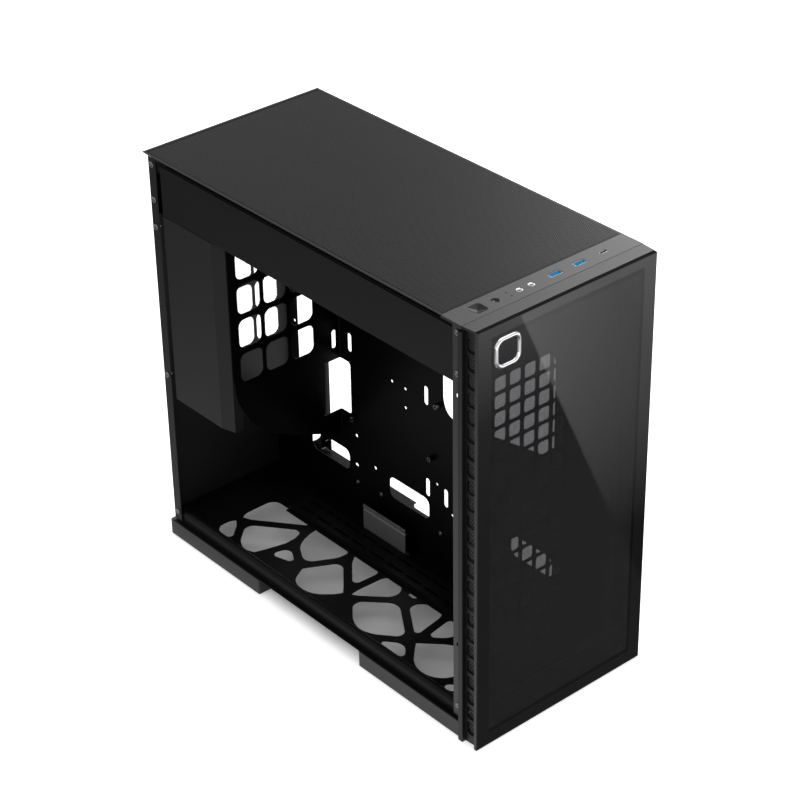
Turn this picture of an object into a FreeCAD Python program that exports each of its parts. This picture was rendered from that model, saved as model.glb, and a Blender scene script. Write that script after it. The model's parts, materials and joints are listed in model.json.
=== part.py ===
import FreeCAD, Part
import math
import os
import re
import Sketcher
from FreeCAD import Placement, Rotation, Vector

# Open tower computer case for E-ATX boards, both side panels taken off.
# Millimetres. X runs across the case (the open component side is -X), Y runs from the
# glass front to the rear, Z is up, and the origin is under the middle of the case on the floor.
# Set-backs are measured from the face of the front glass.

SIZES = {
    # Overall envelope
    "width": (233.0, "across the top cover"),
    "depth": (514.6, "badge bezel to the ends of the rear feet"),
    "height": (480.0, "floor to the top cover"),
    "steel": (1.0, "chassis sheet"),
    "flank_inset": (7.0, "side of the steel chassis inside the edge of the top cover"),
    "rear_setback": (5.0, "outer face of the rear wall ahead of the ends of the feet"),
    "play": (0.3, "clearance of a push or drop fit, each side"),
    # Feet
    "foot_height": (20.0, "floor to the top of a foot bar"),
    "foot_width": (16.5, "foot bar across"),
    "foot_inset": (3.5, "foot bar inside the edge of the top cover"),
    "foot_length": (161.0, "rear foot bar along the case"),
    "foot_front": (158.0, "front foot bar along the case"),
    "foot_edge": (1.2, "bevel of the ends of a foot bar"),
    "pad_thickness": (1.5, "rubber pad below its bar"),
    "pad_length": (60.0, "rubber pad along the case"),
    "pad_width": (10.0, "rubber pad across"),
    # Floor pan
    "floor_level": (27.0, "top of the floor sheet"),
    "rail_radius": (4.5, "outer radius of the rolled side rail"),
    "rail_top": (36.0, "top of the rolled side rail"),
    "rail_inset": (2.0, "side rail inside the steel flank"),
    "ledge_inset": (4.0, "floor ledge inside the edge of the top cover"),
    "lip_height": (10.0, "turned-up lips at the ends of the floor"),
    "web_width": (9.7, "bars between the cells of the floor web"),
    "web_corner": (7.0, "bevel of the web cells"),
    "right_step": (98.5, "step of the floor down to the right ledge"),
    "web_margin": (14.5, "web cells inside the side rail's middle"),
    "web_right": (-8.0, "right edge of the web cells"),
    # Front wall and its pillars
    "panel_depth": (26.0, "front face of the chassis behind the glass face"),
    "wall_setback": (33.0, "front face of the windowed front wall"),
    "pillar_depth": (14.0, "side flange of a front pillar"),
    "pillar_foot": (22.7, "lower end of the side flanges"),
    "pillar_width": (11.0, "front leg of a pillar"),
    "clip_size": (4.4, "square clip hole of a front pillar"),
    "wall_top": (455.0, "upper edge of the front wall's middle"),
    "front_window": (14.2, "front wall window across"),
    "front_rise": (15.0, "front wall window up"),
    "front_pitch": (19.15, "front wall windows across, centre to centre"),
    "front_column": (-76.6, "first column of front windows"),
    "front_pitch_z": (19.15, "front wall windows up, centre to centre"),
    "front_first": (65.5, "centre of the lowest row of front windows"),
    # Motherboard tray and partition
    "tie_width": (6.2, "tie slot of the tray across"),
    "tie_height": (22.6, "tie slot of the tray up"),
    "fold_left": (25.5, "cable opening of the fold, its part in the partition"),
    "fold_front": (16.8, "cable opening of the fold, its part in the tray"),
    "tray_offset": (40.0, "board side of the tray, right of the middle"),
    "partition_setback": (388.0, "front face of the partition"),
    "bend_radius": (2.5, "outer radius of the fold between tray and partition"),
    "partition_gap": (5.5, "free edge of the partition inside the steel flank"),
    "partition_low": (126.0, "lower edge of the partition at the tray"),
    "partition_high": (184.0, "lower edge of the partition at its free edge"),
    "roof_drop": (10.0, "top of the roof sheet below the top cover"),
    # Large rounded windows of the partition and the rear wall
    "vent_width": (29.4, "large window across"),
    "vent_height": (33.6, "large window up"),
    "vent_corner": (4.6, "bevelled corners of a large window"),
    "vent_pitch_x": (34.3, "large windows across, centre to centre"),
    "vent_pitch_z": (40.5, "large windows up, centre to centre"),
    "partition_vent_x": (-78.7, "first column of partition windows"),
    "partition_vent_z": (263.0, "first row of partition windows"),
    "rear_vent_x": (-69.9, "first column of rear windows"),
    "rear_vent_z": (220.4, "first row of rear windows"),
    # Tall opening of the rear wall
    "exit_left": (67.7, "left edge of the tall rear opening"),
    "exit_right": (103.0, "right edge of the tall rear opening"),
    "exit_low": (38.0, "lower edge of the tall rear opening"),
    "exit_high": (404.0, "upper edge of the tall rear opening"),
    "exit_corner": (3.0, "bevelled corners of the tall rear opening"),
    "exit_flange": (11.5, "flange folded in beside the tall rear opening"),
    "rear_flange": (12.0, "side flanges of the rear wall"),
    "filter_thickness": (0.6, "woven filter on the rear windows"),
    "filter_border": (3.0, "filter beyond the windows"),
    # Left side covers
    "band_low": (411.5, "lower edge of the side band"),
    "band_high": (468.0, "upper edge of the side band"),
    "band_setback": (40.3, "front end of the side band"),
    "cover_end": (487.0, "rear end of the side band and the rear cover"),
    "band_lip": (8.0, "fold under the side band"),
    "cover_bend": (406.5, "fold line of the rear cover's lip"),
    "cover_lip": (4.9, "how far the lip comes in"),
    "cover_low": (188.5, "lower edge of the rear cover"),
    "cover_tongue": (11.0, "tongue of the rear cover behind the partition"),
    # Roof frame and the deck below it
    "roof_flange": (11.0, "side flanges of the roof frame"),
    "roof_setback": (49.0, "front edge of the roof sheet"),
    "roof_border": (20.5, "side bars of the roof frame"),
    "roof_bar": (11.0, "front and rear bars of the roof frame"),
    "deck_flange": (19.5, "flange on the right edge of the deck"),
    "slot_pitch": (20.32, "expansion slots, centre to centre"),
    "slot_width": (14.0, "expansion slot opening"),
    "slot_setback": (372.0, "rearmost expansion slot"),
    "slot_left": (-72.0, "outer end of the slot openings"),
    "slot_right": (34.0, "tray end of the slot openings"),
    "shield_width": (158.75, "rear-port opening along the board"),
    "shield_height": (44.45, "rear-port opening away from the board"),
    "shield_gap": (2.2, "bar between the port opening and the slots"),
    "cover_plate": (0.8, "slot cover sheet"),
    "cover_width": (18.6, "slot cover across"),
    "cover_over": (12.0, "slot cover past the outer end of its slot"),
    # Slotted rail and drive bracket
    "rail_left": (-8.0, "left foot of the slotted rail"),
    "rail_right": (25.0, "right foot of the slotted rail"),
    "rail_rise": (6.0, "slotted rail above the floor"),
    "rail_foot": (5.0, "feet of the slotted rail"),
    "rail_start": (120.0, "front end of the slotted rail"),
    "rail_end": (428.0, "rear end of the slotted rail"),
    "rail_slot": (24.0, "slot of the rail, end to end"),
    "rail_slot_width": (3.4, "slot of the rail across"),
    "rail_slot_pitch": (30.0, "slots of the rail, centre to centre"),
    "rail_row_gap": (15.0, "between the two rows of slots"),
    "bracket_start": (269.0, "front end of the drive bracket"),
    "bracket_length": (70.0, "drive bracket along the case"),
    "bracket_height": (63.0, "top of the drive bracket"),
    "bracket_face": (26.5, "left face of the drive bracket"),
    "bracket_fold": (1.2, "depth of the crease in the bracket"),
    "bracket_crease": (6.0, "crease below the top of the bracket"),
    "bracket_foot": (6.0, "foot of the drive bracket"),
    # Top cover and port strip
    "cover_rise": (7.0, "top cover from its rim to its top"),
    "cover_wall": (1.4, "wall of the top cover"),
    "cover_top": (1.2, "top sheet of the top cover"),
    "cover_setback": (48.5, "front edge of the top cover"),
    "strip_setback": (20.5, "front edge of the port strip"),
    "strip_wall": (2.5, "port strip plate"),
    "seam": (0.3, "gap between the port strip and its neighbours"),
    "port_line": (34.3, "row of buttons and ports"),
    "peg_radius": (2.5, "pegs under the top cover"),
    "boss_radius": (2.2, "bosses under the port strip"),
    "boss_offset": (5.5, "bosses behind the row of ports"),
    "board_drop": (18.4, "top of the port board below the top"),
    "board_thickness": (1.6, "port board"),
    "board_half": (96.5, "port board, half its length"),
    "board_setback": (24.5, "front edge of the port board"),
    "board_width": (21.0, "port board across"),
    # Buttons
    "power_x": (-84.0, "power button"),
    "power_size": (15.0, "power button, square"),
    "power_corner": (2.0, "bevelled corners of the power button"),
    "power_travel": (1.5, "press of the power button"),
    "power_rise": (0.9, "facets of the power button, rim to middle"),
    "reset_x": (-62.0, "reset button"),
    "reset_radius": (3.9, "reset button"),
    "reset_travel": (1.0, "press of the reset button"),
    "button_sink": (0.9, "button rims below the top"),
    "flange_reach": (1.2, "retaining flange past a button's sides"),
    "flange_thickness": (1.0, "retaining flange of a button"),
    "switch_side": (6.0, "switch housing, square"),
    "switch_height": (7.0, "switch housing"),
    "plunger_radius": (1.7, "plunger of a switch"),
    # Ports
    "led_x": (-45.1, "two indicator lenses"),
    "led_radius": (1.0, "indicator lens"),
    "led_gap": (7.6, "between the two lenses"),
    "jack_first": (-31.8, "first audio jack"),
    "jack_pitch": (15.0, "between the audio jacks"),
    "jack_ring": (3.6, "outer radius of a jack's ring"),
    "jack_bore": (1.8, "plug bore of a jack"),
    "jack_body": (9.0, "jack housing, square"),
    "usb_first": (13.7, "first wide port"),
    "usb_pitch": (31.9, "between the wide ports"),
    "usb_length": (14.6, "wide port shell along the strip"),
    "usb_width": (6.2, "wide port shell across"),
    "usb_wall": (0.4, "port shell sheet"),
    "tongue_width": (3.0, "tongue of a wide port"),
    "tongue_sink": (1.2, "tongue below the top"),
    "oval_x": (77.0, "small port"),
    "oval_length": (9.4, "small port shell along the strip"),
    "oval_width": (3.6, "small port shell across"),
    # Front panel
    "glass_width": (230.0, "front glass across"),
    "glass_thickness": (4.0, "front glass"),
    "glass_top": (0.6, "glass below the top"),
    "glass_foot": (1.0, "glass and panel above the floor"),
    "glass_edge": (0.6, "ground edge of the glass"),
    "panel_inset": (0.5, "rear column of the panel inside the top cover's edge"),
    "column_depth": (6.0, "rear column of the panel along the case"),
    "groove_depth": (4.5, "side vents behind the column's face"),
    "panel_wall": (2.5, "walls of the front panel"),
    "vent_pitch": (19.15, "side vents of the panel, centre to centre"),
    "vent_size": (15.4, "side vent up"),
    "vent_first": (20.0, "centre of the lowest side vent"),
    "vent_round": (2.2, "bevelled corners of the side vents"),
    "bezel_border": (15.0, "panel lip behind the glass, inside the rear column"),
    "mesh_thickness": (0.6, "honeycomb strip behind the side vents"),
    # Badge place on the glass
    "badge_x": (-78.7, "bezel centre across"),
    "badge_z": (449.0, "bezel centre above the floor"),
    "badge_size": (34.5, "bezel, square"),
    "badge_corner": (7.0, "bevelled corners of the bezel"),
    "badge_band": (5.6, "width of the bezel's ring"),
    "badge_depth": (2.6, "bezel ahead of the glass"),
    # Fasteners
    "stud_height": (6.5, "standoff"),
    "stud_flat": (5.5, "standoff across its flats"),
    "stud_bore": (1.5, "threaded hole of a standoff"),
    "screw_head": (3.4, "panel screw head radius"),
    "screw_rise": (2.0, "panel screw head"),
    "screw_drop": (4.5, "uppermost side screws below the roof sheet"),
    "screw_shank": (1.5, "panel screw shank radius"),
    "screw_grip": (2.0, "panel screw shank"),
    "small_head": (3.0, "slot screw head radius"),
}

# Places worked out from the sizes above
PLACES = {
    "front": "badge_depth - depth / 2",
    "flank": "width / 2 - flank_inset",
    "partition_reach": "flank - partition_gap",
    "deck_top": "band_low",
    "rear_face": "depth / 2 - rear_setback",
    "roof_top": "height - roof_drop",
    "rim": "height - cover_rise",
    "wall_face": "front + wall_setback",
    "wall_back": "front + wall_setback + steel",
    "partition_face": "front + partition_setback",
    "partition_back": "front + partition_setback + steel",
    "slot_span": "7 * slot_pitch",
    "shield_rear": "front + slot_setback - slot_span - slot_width / 2 - shield_gap",
    "board_top": "height - board_drop",
    "port_y": "front + port_line",
    "column_x": "width / 2 - panel_inset",
    "vent_x": "column_x - groove_depth",
}

# Width, depth and height as read from the picture: a yardstick, not a size of the case.
# The sizes listed with each of them keep their share when the case's own size changes
REAL = {"width": 233.0, "depth": 514.6, "height": 480.0}
FOLLOWS = {
    "width": """tray_offset web_right right_step partition_vent_x rear_vent_x vent_width vent_pitch_x
        exit_left exit_right slot_left slot_right shield_height rail_left rail_right bracket_face board_half
        power_x reset_x led_x jack_first jack_pitch usb_first usb_pitch oval_x boss_radius glass_width
        badge_x front_window front_pitch front_column""".split(),
    "depth": """foot_length foot_front pad_length partition_setback slot_setback slot_pitch slot_width
        cover_width shield_width cover_end cover_bend rail_start rail_end rail_slot rail_slot_pitch
        bracket_start bracket_length""".split(),
    "height": """partition_low partition_high vent_height vent_pitch_z partition_vent_z rear_vent_z
        exit_low exit_high band_low band_high cover_low front_rise front_pitch_z front_first vent_first
        vent_size vent_pitch wall_top badge_z bracket_height""".split(),
}

FRONT_COLUMNS = 6
FRONT_ROWS = 18
PARTITION_COLUMNS = 3
PARTITION_ROWS = 4
REAR_COLUMNS = 4
REAR_ROWS = 5
SLOTS = 8
RAIL_SLOTS = 10
SIDE_VENTS = 24

# Middles of the floor web's cells: (right of the middle, behind the glass face)
OPEN_CELLS = [(-16, 434), (-64, 397), (-110, 449), (-74, 358), (-45, 341), (-61, 312), (-12, 271.5),
              (-13, 252), (-67, 200), (13.5, 212), (-22.5, 169.5), (-18.5, 145), (-57.5, 107.5),
              (-112, 163), (-108.5, 48)]
CLOSED_CELLS = [(-121, 245), (-84, 355), (-36, 54), (-5, 110)]

# Round holes of the tray: (behind the glass face, above the floor, radius)
TRAY_HOLES = [(302, 232.5, 1.9), (280.5, 232.5, 1.9), (280.5, 209, 1.9), (231, 136, 1.7),
              (363.5, 135, 2.2), (364, 96, 2.9), (332.5, 107.5, 2.2), (207, 108, 1.7)]
# Upright slots of the tray: (behind the glass face, above the floor)
TRAY_SLOTS = [(371.4, 250), (247.4, 239.3), (246, 124.8), (217, 124.8)]
# Oblong cable openings of the tray: (from, to behind the glass face, low, high)
TRAY_OVALS = [(376.5, 442.5, 83, 109), (244, 309, 83, 109.5), (58, 119, 106, 132)]
# Corners of the tray's tall opening: (behind the glass face, above the floor)
TALL_OPENING = [(59, 252), (140, 238), (208, 226.5), (221, 240), (221, 372), (59, 372)]
# Cable opening round the fold: low and high edge. Tie slot beside it: low and high edge
FOLD_OPENING = (159, 224.5)
FOLD_SLOT = (239, 261.4)
# Standoffs of the tray: (behind the glass face, above the floor). The corner ones carry the board's corners
CORNER_STUDS = [(364, 384.5), (82.1, 384.5), (364, 157.2), (82.1, 157.2)]
MIDDLE_STUDS = [(237, 384.5), (237, 167.2), (226.6, 237)]
TRAY_SCREWS = [(322.5, 78), (362.2, 75), (225, 76)]

# Bosses that carry the port board, right of the middle
STRIP_BOSSES = [-71.2, -3, 62, 90]

# Side screws under the roof screw: heights on the rear flange and on the front pillar
REAR_SCREWS = [425, 393, 213, 34]
FRONT_SCREWS = [422, 36.5]
CLIP_HOLES = [398, 112]

doc = FreeCAD.newDocument("tower_case")
sheet = doc.addObject("Spreadsheet::Sheet", "Sizes")
for row, (name, (value, note)) in enumerate(SIZES.items(), start=1):
    sheet.set(f"A{row}", name)
    sheet.set(f"B{row}", str(value))
    sheet.set(f"C{row}", note)
    sheet.setAlias(f"B{row}", name)
doc.recompute()

NODES = []


def bind(text):
    """Turn the names in a formula into cells of the size sheet."""
    def swap(match):
        word = match.group(0)
        if word in PLACES:
            return "(" + bind(PLACES[word]) + ")"
        for whole, parts in FOLLOWS.items():
            if word in parts:
                return f"(Sizes.{word} * Sizes.{whole} / {REAL[whole]})"
        return "Sizes." + word if word in SIZES else word
    return re.sub(r"[a-z_]+", swap, str(text))


def number(text):
    """The present value of a formula."""
    return float(sheet.evalExpression(bind(text)))


def numbers(*texts):
    return [number(text) for text in texts]


def in_width(value):
    """A place across the real case, kept at its share of the width."""
    return value * number("width") / REAL["width"]


def in_depth(value):
    """A place behind the glass, kept at its share of the depth."""
    return value * number("depth") / REAL["depth"]


def in_height(value):
    """A place above the floor, kept at its share of the height."""
    return value * number("height") / REAL["height"]


# Sketch helpers

def new_body(label):
    body = doc.addObject("PartDesign::Body", label)
    body.Label = label
    NODES.append(body)
    return body


def sketch_on(body, name, plane, lift):
    """A sketch on one of the body's origin planes, lifted along the row axis across it."""
    sketch = body.newObject("Sketcher::SketchObject", name)
    support = [item for item in body.Origin.OriginFeatures if item.Role == plane + "_Plane"]
    sketch.AttachmentSupport = [(support[0], "")]
    sketch.MapMode = "FlatFace"
    sign = "-" if plane == "XZ" else ""
    sketch.setExpression("AttachmentOffset.Base.z", f"{sign}({bind(lift)})")
    return sketch


def pin_point(sketch, geometry, point, across, up):
    """Tie one sketch point to its formulas."""
    for kind, formula in (("DistanceX", across), ("DistanceY", up)):
        index = sketch.addConstraint(
            Sketcher.Constraint(kind, -1, 1, geometry, point, number(formula)))
        sketch.setExpression(f"Constraints[{index}]", bind(formula))


def outline(sketch, corners):
    """A closed run of straight lines through the given corners."""
    first = sketch.GeometryCount
    places = [Vector(number(across), number(up), 0) for across, up in corners]
    count = len(places)
    for index in range(count):
        sketch.addGeometry(Part.LineSegment(places[index], places[(index + 1) % count]))
    for index in range(count):
        after = first + (index + 1) % count
        sketch.addConstraint(Sketcher.Constraint("Coincident", first + index, 2, after, 1))
        pin_point(sketch, first + index, 1, *corners[index])


def rectangle(sketch, left, low, right, high):
    outline(sketch, [(left, low), (right, low), (right, high), (left, high)])


def bore(sketch, across, up, radius):
    """An eight-sided hole that clears a round shank."""
    corner = number(radius) / math.cos(math.pi / 8)
    points = []
    for index in range(8):
        turn = math.radians(45 * index + 22.5)
        side, rise = corner * math.cos(turn), corner * math.sin(turn)
        points.append((f"({across}) + {side:.4f}", f"({up}) + {rise:.4f}"))
    outline(sketch, points)


def bevelled_window(sketch, middle, level, across, up, corner):
    """A rectangle with bevelled corners about a middle point."""
    half_x, half_z = f"({across}) / 2", f"({up}) / 2"
    left, right = f"({middle}) - {half_x}", f"({middle}) + {half_x}"
    low, high = f"({level}) - {half_z}", f"({level}) + {half_z}"
    cut = f"({corner})"
    outline(sketch, [
        (f"{left} + {cut}", low), (f"{right} - {cut}", low), (right, f"{low} + {cut}"),
        (right, f"{high} - {cut}"), (f"{right} - {cut}", high), (f"{left} + {cut}", high),
        (left, f"{high} - {cut}"), (left, f"{low} + {cut}"),
    ])


def pad(body, sketch, length):
    """Grow a profile along +X, +Y or +Z."""
    feature = body.newObject("PartDesign::Pad", sketch.Name + "_pad")
    feature.Profile = sketch
    feature.setExpression("Length", bind(length))
    feature.Reversed = sketch.AttachmentSupport[0][0].Role == "XZ_Plane"
    doc.recompute()
    return feature


def pocket(body, sketch, depth=None, upward=False):
    """Cut a profile right through, or to a depth."""
    feature = body.newObject("PartDesign::Pocket", sketch.Name + "_cut")
    feature.Profile = sketch
    if depth is None:
        feature.Type = "ThroughAll"
        feature.Midplane = True
    else:
        feature.setExpression("Length", bind(depth))
        feature.Reversed = upward
    doc.recompute()
    return feature


def repeat(body, feature, sketch, axis, pitch, count, second=None):
    """Repeat a cut along one or two axes of its sketch."""
    pattern = body.newObject("PartDesign::LinearPattern", feature.Name + "_rows")
    pattern.Originals = [feature]
    pattern.Direction = (sketch, [axis])
    pattern.setExpression("Length", bind(f"{count - 1} * ({pitch})"))
    pattern.Occurrences = count
    if second:
        pattern.Direction2 = (sketch, [second[0]])
        pattern.setExpression("Length2", bind(f"{second[2] - 1} * ({second[1]})"))
        pattern.Occurrences2 = second[2]
    body.Tip = pattern
    doc.recompute()
    return pattern


def bevel_edges(body, base, size, test):
    """Bevel the edges of a feature that pass a test on their middle and direction."""
    names = []
    for index, edge in enumerate(base.Shape.Edges, start=1):
        if test(edge.CenterOfMass, edge.tangentAt(edge.FirstParameter)):
            names.append(f"Edge{index}")
    feature = body.newObject("PartDesign::Chamfer", base.Name + "_bevel")
    feature.Base = (base, names)
    feature.setExpression("Size", bind(size))
    doc.recompute()
    return feature


# Helpers for shapes set in code

def keep_shape(label, shape):
    """Store a finished shape as a node of the document."""
    feature = doc.addObject("Part::Feature", label)
    feature.Label = label
    feature.Shape = shape
    feature.Placement = Placement(Vector(0, 0, 0), Rotation())
    NODES.append(feature)
    return feature


def slab(x_low, x_high, y_low, y_high, z_low, z_high):
    """A box between six formulas or numbers."""
    low = Vector(*numbers(x_low, y_low, z_low))
    high = Vector(*numbers(x_high, y_high, z_high))
    span = high - low
    return Part.makeBox(span.x, span.y, span.z, low)


def bevelled_wire(corners, bevel, place):
    """A closed outline with its corners cut off; place turns flat points into space."""
    count = len(corners)
    points = [Vector(a, b, 0) for a, b in corners]
    ring = []
    for index in range(count):
        here = points[index]
        for other in (points[index - 1], points[(index + 1) % count]):
            way = other - here
            reach = min(bevel, 0.42 * way.Length)
            way.normalize()
            ring.append(place(here + way * reach))
    return Part.makePolygon(ring + ring[:1])


def prism(sides, radius, base, along):
    """A bar with equal flat sides standing on a point."""
    lean = Rotation(Vector(0, 0, 1), along)
    ring = []
    for index in range(sides):
        turn = 2 * math.pi * (index + 0.5) / sides
        spoke = Vector(radius * math.cos(turn), radius * math.sin(turn), 0)
        ring.append(base + lean.multVec(spoke))
    return Part.Face(Part.makePolygon(ring + ring[:1])).extrude(along)


def on_tray(point):
    """Flat (behind the glass, above the floor) to space, just left of the tray."""
    return Vector(number("tray_offset") - 1, number("front") + point.x, point.y)


def on_partition(point):
    """Flat (right of the middle, above the floor) to space, just ahead of the partition."""
    return Vector(point.x, number("partition_face") - 1, point.y)


def on_floor(point):
    """Flat (right of the middle, behind the glass) to space, under the floor sheet."""
    return Vector(point.x, number("front") + point.y, number("floor_level - steel") - 1)


def cutter(corners, bevel, place, along):
    """A prism with bevelled corners for cutting a window."""
    return Part.Face(bevelled_wire(corners, bevel, place)).extrude(along)


def box_corners(left, low, right, high):
    return [(left, low), (right, low), (right, high), (left, high)]


# Floor pan with its rolled side rails and open web

def clip(polygon, point, normal):
    """Keep the part of a convex polygon behind a line."""
    kept = []
    for index, here in enumerate(polygon):
        ahead = polygon[(index + 1) % len(polygon)]
        side_here = (here - point).dot(normal)
        side_ahead = (ahead - point).dot(normal)
        if side_here <= 0:
            kept.append(here)
        if side_here * side_ahead < 0:
            kept.append(here + (ahead - here) * (side_here / (side_here - side_ahead)))
    return kept


def web_cell(middle, others, field):
    """The area nearer to one cell middle than to the others, less half a bar all round."""
    cell = [Vector(a, b, 0) for a, b in field]
    half_bar = number("web_width") / 2
    for other in others:
        way = other - middle
        way.normalize()
        cell = clip(cell, (middle + other) / 2 - way * half_bar, way)
    return cell


def floor_pan():
    steel, level, top, radius, flank = numbers("steel", "floor_level", "rail_top", "rail_radius", "flank")
    outer = flank - number("rail_inset")
    hub = outer - radius
    ledge = number("width / 2 - ledge_inset")
    foot = number("foot_height")
    shoulder = top - radius
    y_start = number("front + panel_depth") + steel + number("play")
    rear_inside = number("rear_face") - steel

    def at(x, z):
        return Vector(x, y_start, z)

    def arc(a, b, c):
        return Part.Arc(a, b, c).toShape()

    def line(a, b):
        return Part.LineSegment(a, b).toShape()

    step = number("right_step")
    crown, shoulder_in = at(-hub, top), at(-hub + radius, shoulder)
    edges = [arc(at(-outer, shoulder), crown, shoulder_in),
             arc(at(-outer + steel, shoulder), at(-hub, top - steel), at(-hub + radius - steel, shoulder))]
    runs = [
        [at(-outer, shoulder), at(-outer, foot + steel), at(-ledge, foot + steel), at(-ledge, foot),
         at(-outer + steel, foot), at(-outer + steel, shoulder)],
        [at(-hub + radius - steel, shoulder), at(-hub + radius - steel, level - steel),
         at(step - steel, level - steel), at(step - steel, foot), at(ledge, foot), at(ledge, foot + steel),
         at(step, foot + steel), at(step, level), at(-hub + radius, level), shoulder_in],
    ]
    for run in runs:
        edges += [line(a, b) for a, b in zip(run, run[1:])]
    section = Part.Wire(Part.__sortEdges__(edges))
    pan = Part.Face(section).extrude(Vector(0, rear_inside - y_start, 0))

    inside = hub - radius
    lip_height = number("lip_height")
    for y_low in (number("wall_face") - steel, rear_inside - steel):
        lip = Part.makeBox(2 * inside, steel, lip_height, Vector(-inside, y_low, level - steel))
        pan = pan.fuse(lip)

    left_edge = -flank + number("web_margin") + number("rail_inset")
    field = box_corners(left_edge, in_depth(58), number("web_right"), in_depth(455))
    middles = [Vector(in_width(a), in_depth(b), 0) for a, b in OPEN_CELLS + CLOSED_CELLS]
    cuts = []
    for index in range(len(OPEN_CELLS)):
        others = middles[:index] + middles[index + 1:]
        cell = web_cell(middles[index], others, field)
        corners = [(point.x, point.y) for point in cell]
        cuts.append(cutter(corners, number("web_corner"), on_floor, Vector(0, 0, steel + 2)))
    clear_of_foot = 3 * steel
    cuts.append(slab("right_step", "width / 2", y_start + number("foot_front") + clear_of_foot,
                     number("depth / 2 - foot_length") - clear_of_foot, foot - steel, foot + 2 * steel))
    return keep_shape("floor_pan", pan.cut(cuts).removeSplitter())


# Motherboard tray folded into the windowed partition

def motherboard_tray():
    steel, x_left, y_fold = numbers("steel", "tray_offset", "partition_face")
    low, z_top, front = numbers("floor_level", "deck_top - steel", "front")
    fold_low, free_low, reach = numbers("partition_low", "partition_high", "partition_reach")
    y_front, y_rear = numbers("wall_back", "rear_face - steel")
    radius = number("bend_radius")

    outer, inner = radius, radius - steel
    x_right, y_back = x_left + steel, y_fold + steel
    turn = math.sqrt(0.5)

    def at(x, y):
        return Vector(x, y, fold_low)

    hub_x, hub_y = x_right - outer, y_back - outer
    outside = at(hub_x + outer * turn, hub_y + outer * turn)
    inside = at(hub_x + inner * turn, hub_y + inner * turn)
    section = Part.Wire([
        Part.LineSegment(at(x_left, y_front), at(x_right, y_front)).toShape(),
        Part.LineSegment(at(x_right, y_front), at(x_right, hub_y)).toShape(),
        Part.Arc(at(x_right, hub_y), outside, at(hub_x, y_back)).toShape(),
        Part.LineSegment(at(hub_x, y_back), at(-reach, y_back)).toShape(),
        Part.LineSegment(at(-reach, y_back), at(-reach, y_fold)).toShape(),
        Part.LineSegment(at(-reach, y_fold), at(hub_x, y_fold)).toShape(),
        Part.Arc(at(hub_x, y_fold), inside, at(x_left, hub_y)).toShape(),
        Part.LineSegment(at(x_left, hub_y), at(x_left, y_front)).toShape(),
    ])
    folded = Part.Face(section).extrude(Vector(0, 0, z_top - fold_low))
    below = [Vector(-reach - 1, hub_y, fold_low - 1), Vector(x_left, hub_y, fold_low - 1),
             Vector(x_left, hub_y, fold_low), Vector(-reach, hub_y, free_low),
             Vector(-reach - 1, hub_y, free_low)]
    slant = Part.Face(Part.makePolygon(below + below[:1])).extrude(Vector(0, 2 * radius, 0))
    folded = folded.cut(slant)
    lower = Part.makeBox(steel, y_rear - y_front, fold_low - low, Vector(x_left, y_front, low))
    tray = folded.fuse(lower).removeSplitter()

    cuts = [slab("tray_offset - 1", "tray_offset + steel + 1", "rear_face - 2 * steel - play", "rear_face",
                 "floor_level - 1", "floor_level + lip_height")]
    through = Vector(steel + 2, 0, 0)
    for y_hole, z_hole, size in TRAY_HOLES:
        cuts.append(prism(8, size, on_tray(Vector(in_depth(y_hole), in_height(z_hole), 0)), through))
    for y_slot, z_slot in TRAY_SLOTS:
        y_mid, z_mid = in_depth(y_slot), in_height(z_slot)
        half_width, half_height = numbers("tie_width / 2", "tie_height / 2")
        corners = box_corners(y_mid - half_width, z_mid - half_height, y_mid + half_width, z_mid + half_height)
        cuts.append(cutter(corners, 1.8, on_tray, through))
    for y_from, y_to, z_low, z_high in TRAY_OVALS:
        corners = box_corners(in_depth(y_from), in_height(z_low), in_depth(y_to), in_height(z_high))
        cuts.append(cutter(corners, 4.8, on_tray, through))
    tall = [(in_depth(a), in_height(b)) for a, b in TALL_OPENING]
    cuts.append(cutter(tall, 6, on_tray, through))
    for y_screw, z_screw in TRAY_SCREWS:
        centre = on_tray(Vector(in_depth(y_screw), in_height(z_screw), 0))
        cuts.append(prism(8, number("screw_shank + play"), centre, through))

    across_through = Vector(0, steel + 2, 0)
    wide, tall_window, corner = numbers("vent_width", "vent_height", "vent_corner")
    for column in range(PARTITION_COLUMNS):
        for row in range(PARTITION_ROWS):
            x_mid = number("partition_vent_x") + column * number("vent_pitch_x")
            z_mid = number("partition_vent_z") + row * number("vent_pitch_z")
            corners = box_corners(x_mid - wide / 2, z_mid - tall_window / 2,
                                  x_mid + wide / 2, z_mid + tall_window / 2)
            cuts.append(cutter(corners, corner, on_partition, across_through))
    slot = box_corners(x_left - 10.6, in_height(FOLD_SLOT[0]), x_left - 5, in_height(FOLD_SLOT[1]))
    cuts.append(cutter(slot, 1.6, on_partition, across_through))
    # One opening runs round the fold: its left part is in the partition, its front part in the tray
    opening_left, opening_front = numbers("tray_offset - fold_left", "partition_setback - fold_front")
    z_low, z_high = in_height(FOLD_OPENING[0]), in_height(FOLD_OPENING[1])
    cuts.append(cutter(box_corners(opening_left, z_low, x_left + 4, z_high), 2.5, on_partition, across_through))
    cuts.append(cutter(box_corners(opening_front, z_low, y_fold - front + 4, z_high), 2.5, on_tray, through))
    return keep_shape("motherboard_tray", tray.cut(cuts))


# Rear wall with its window grid, tall opening and side flanges

def screw_levels(heights):
    """Formulas for the heights of one column of side screws, the roof screw first."""
    return ["roof_top - screw_drop"] + [f"{level} * height / {REAL['height']}" for level in heights]


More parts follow.
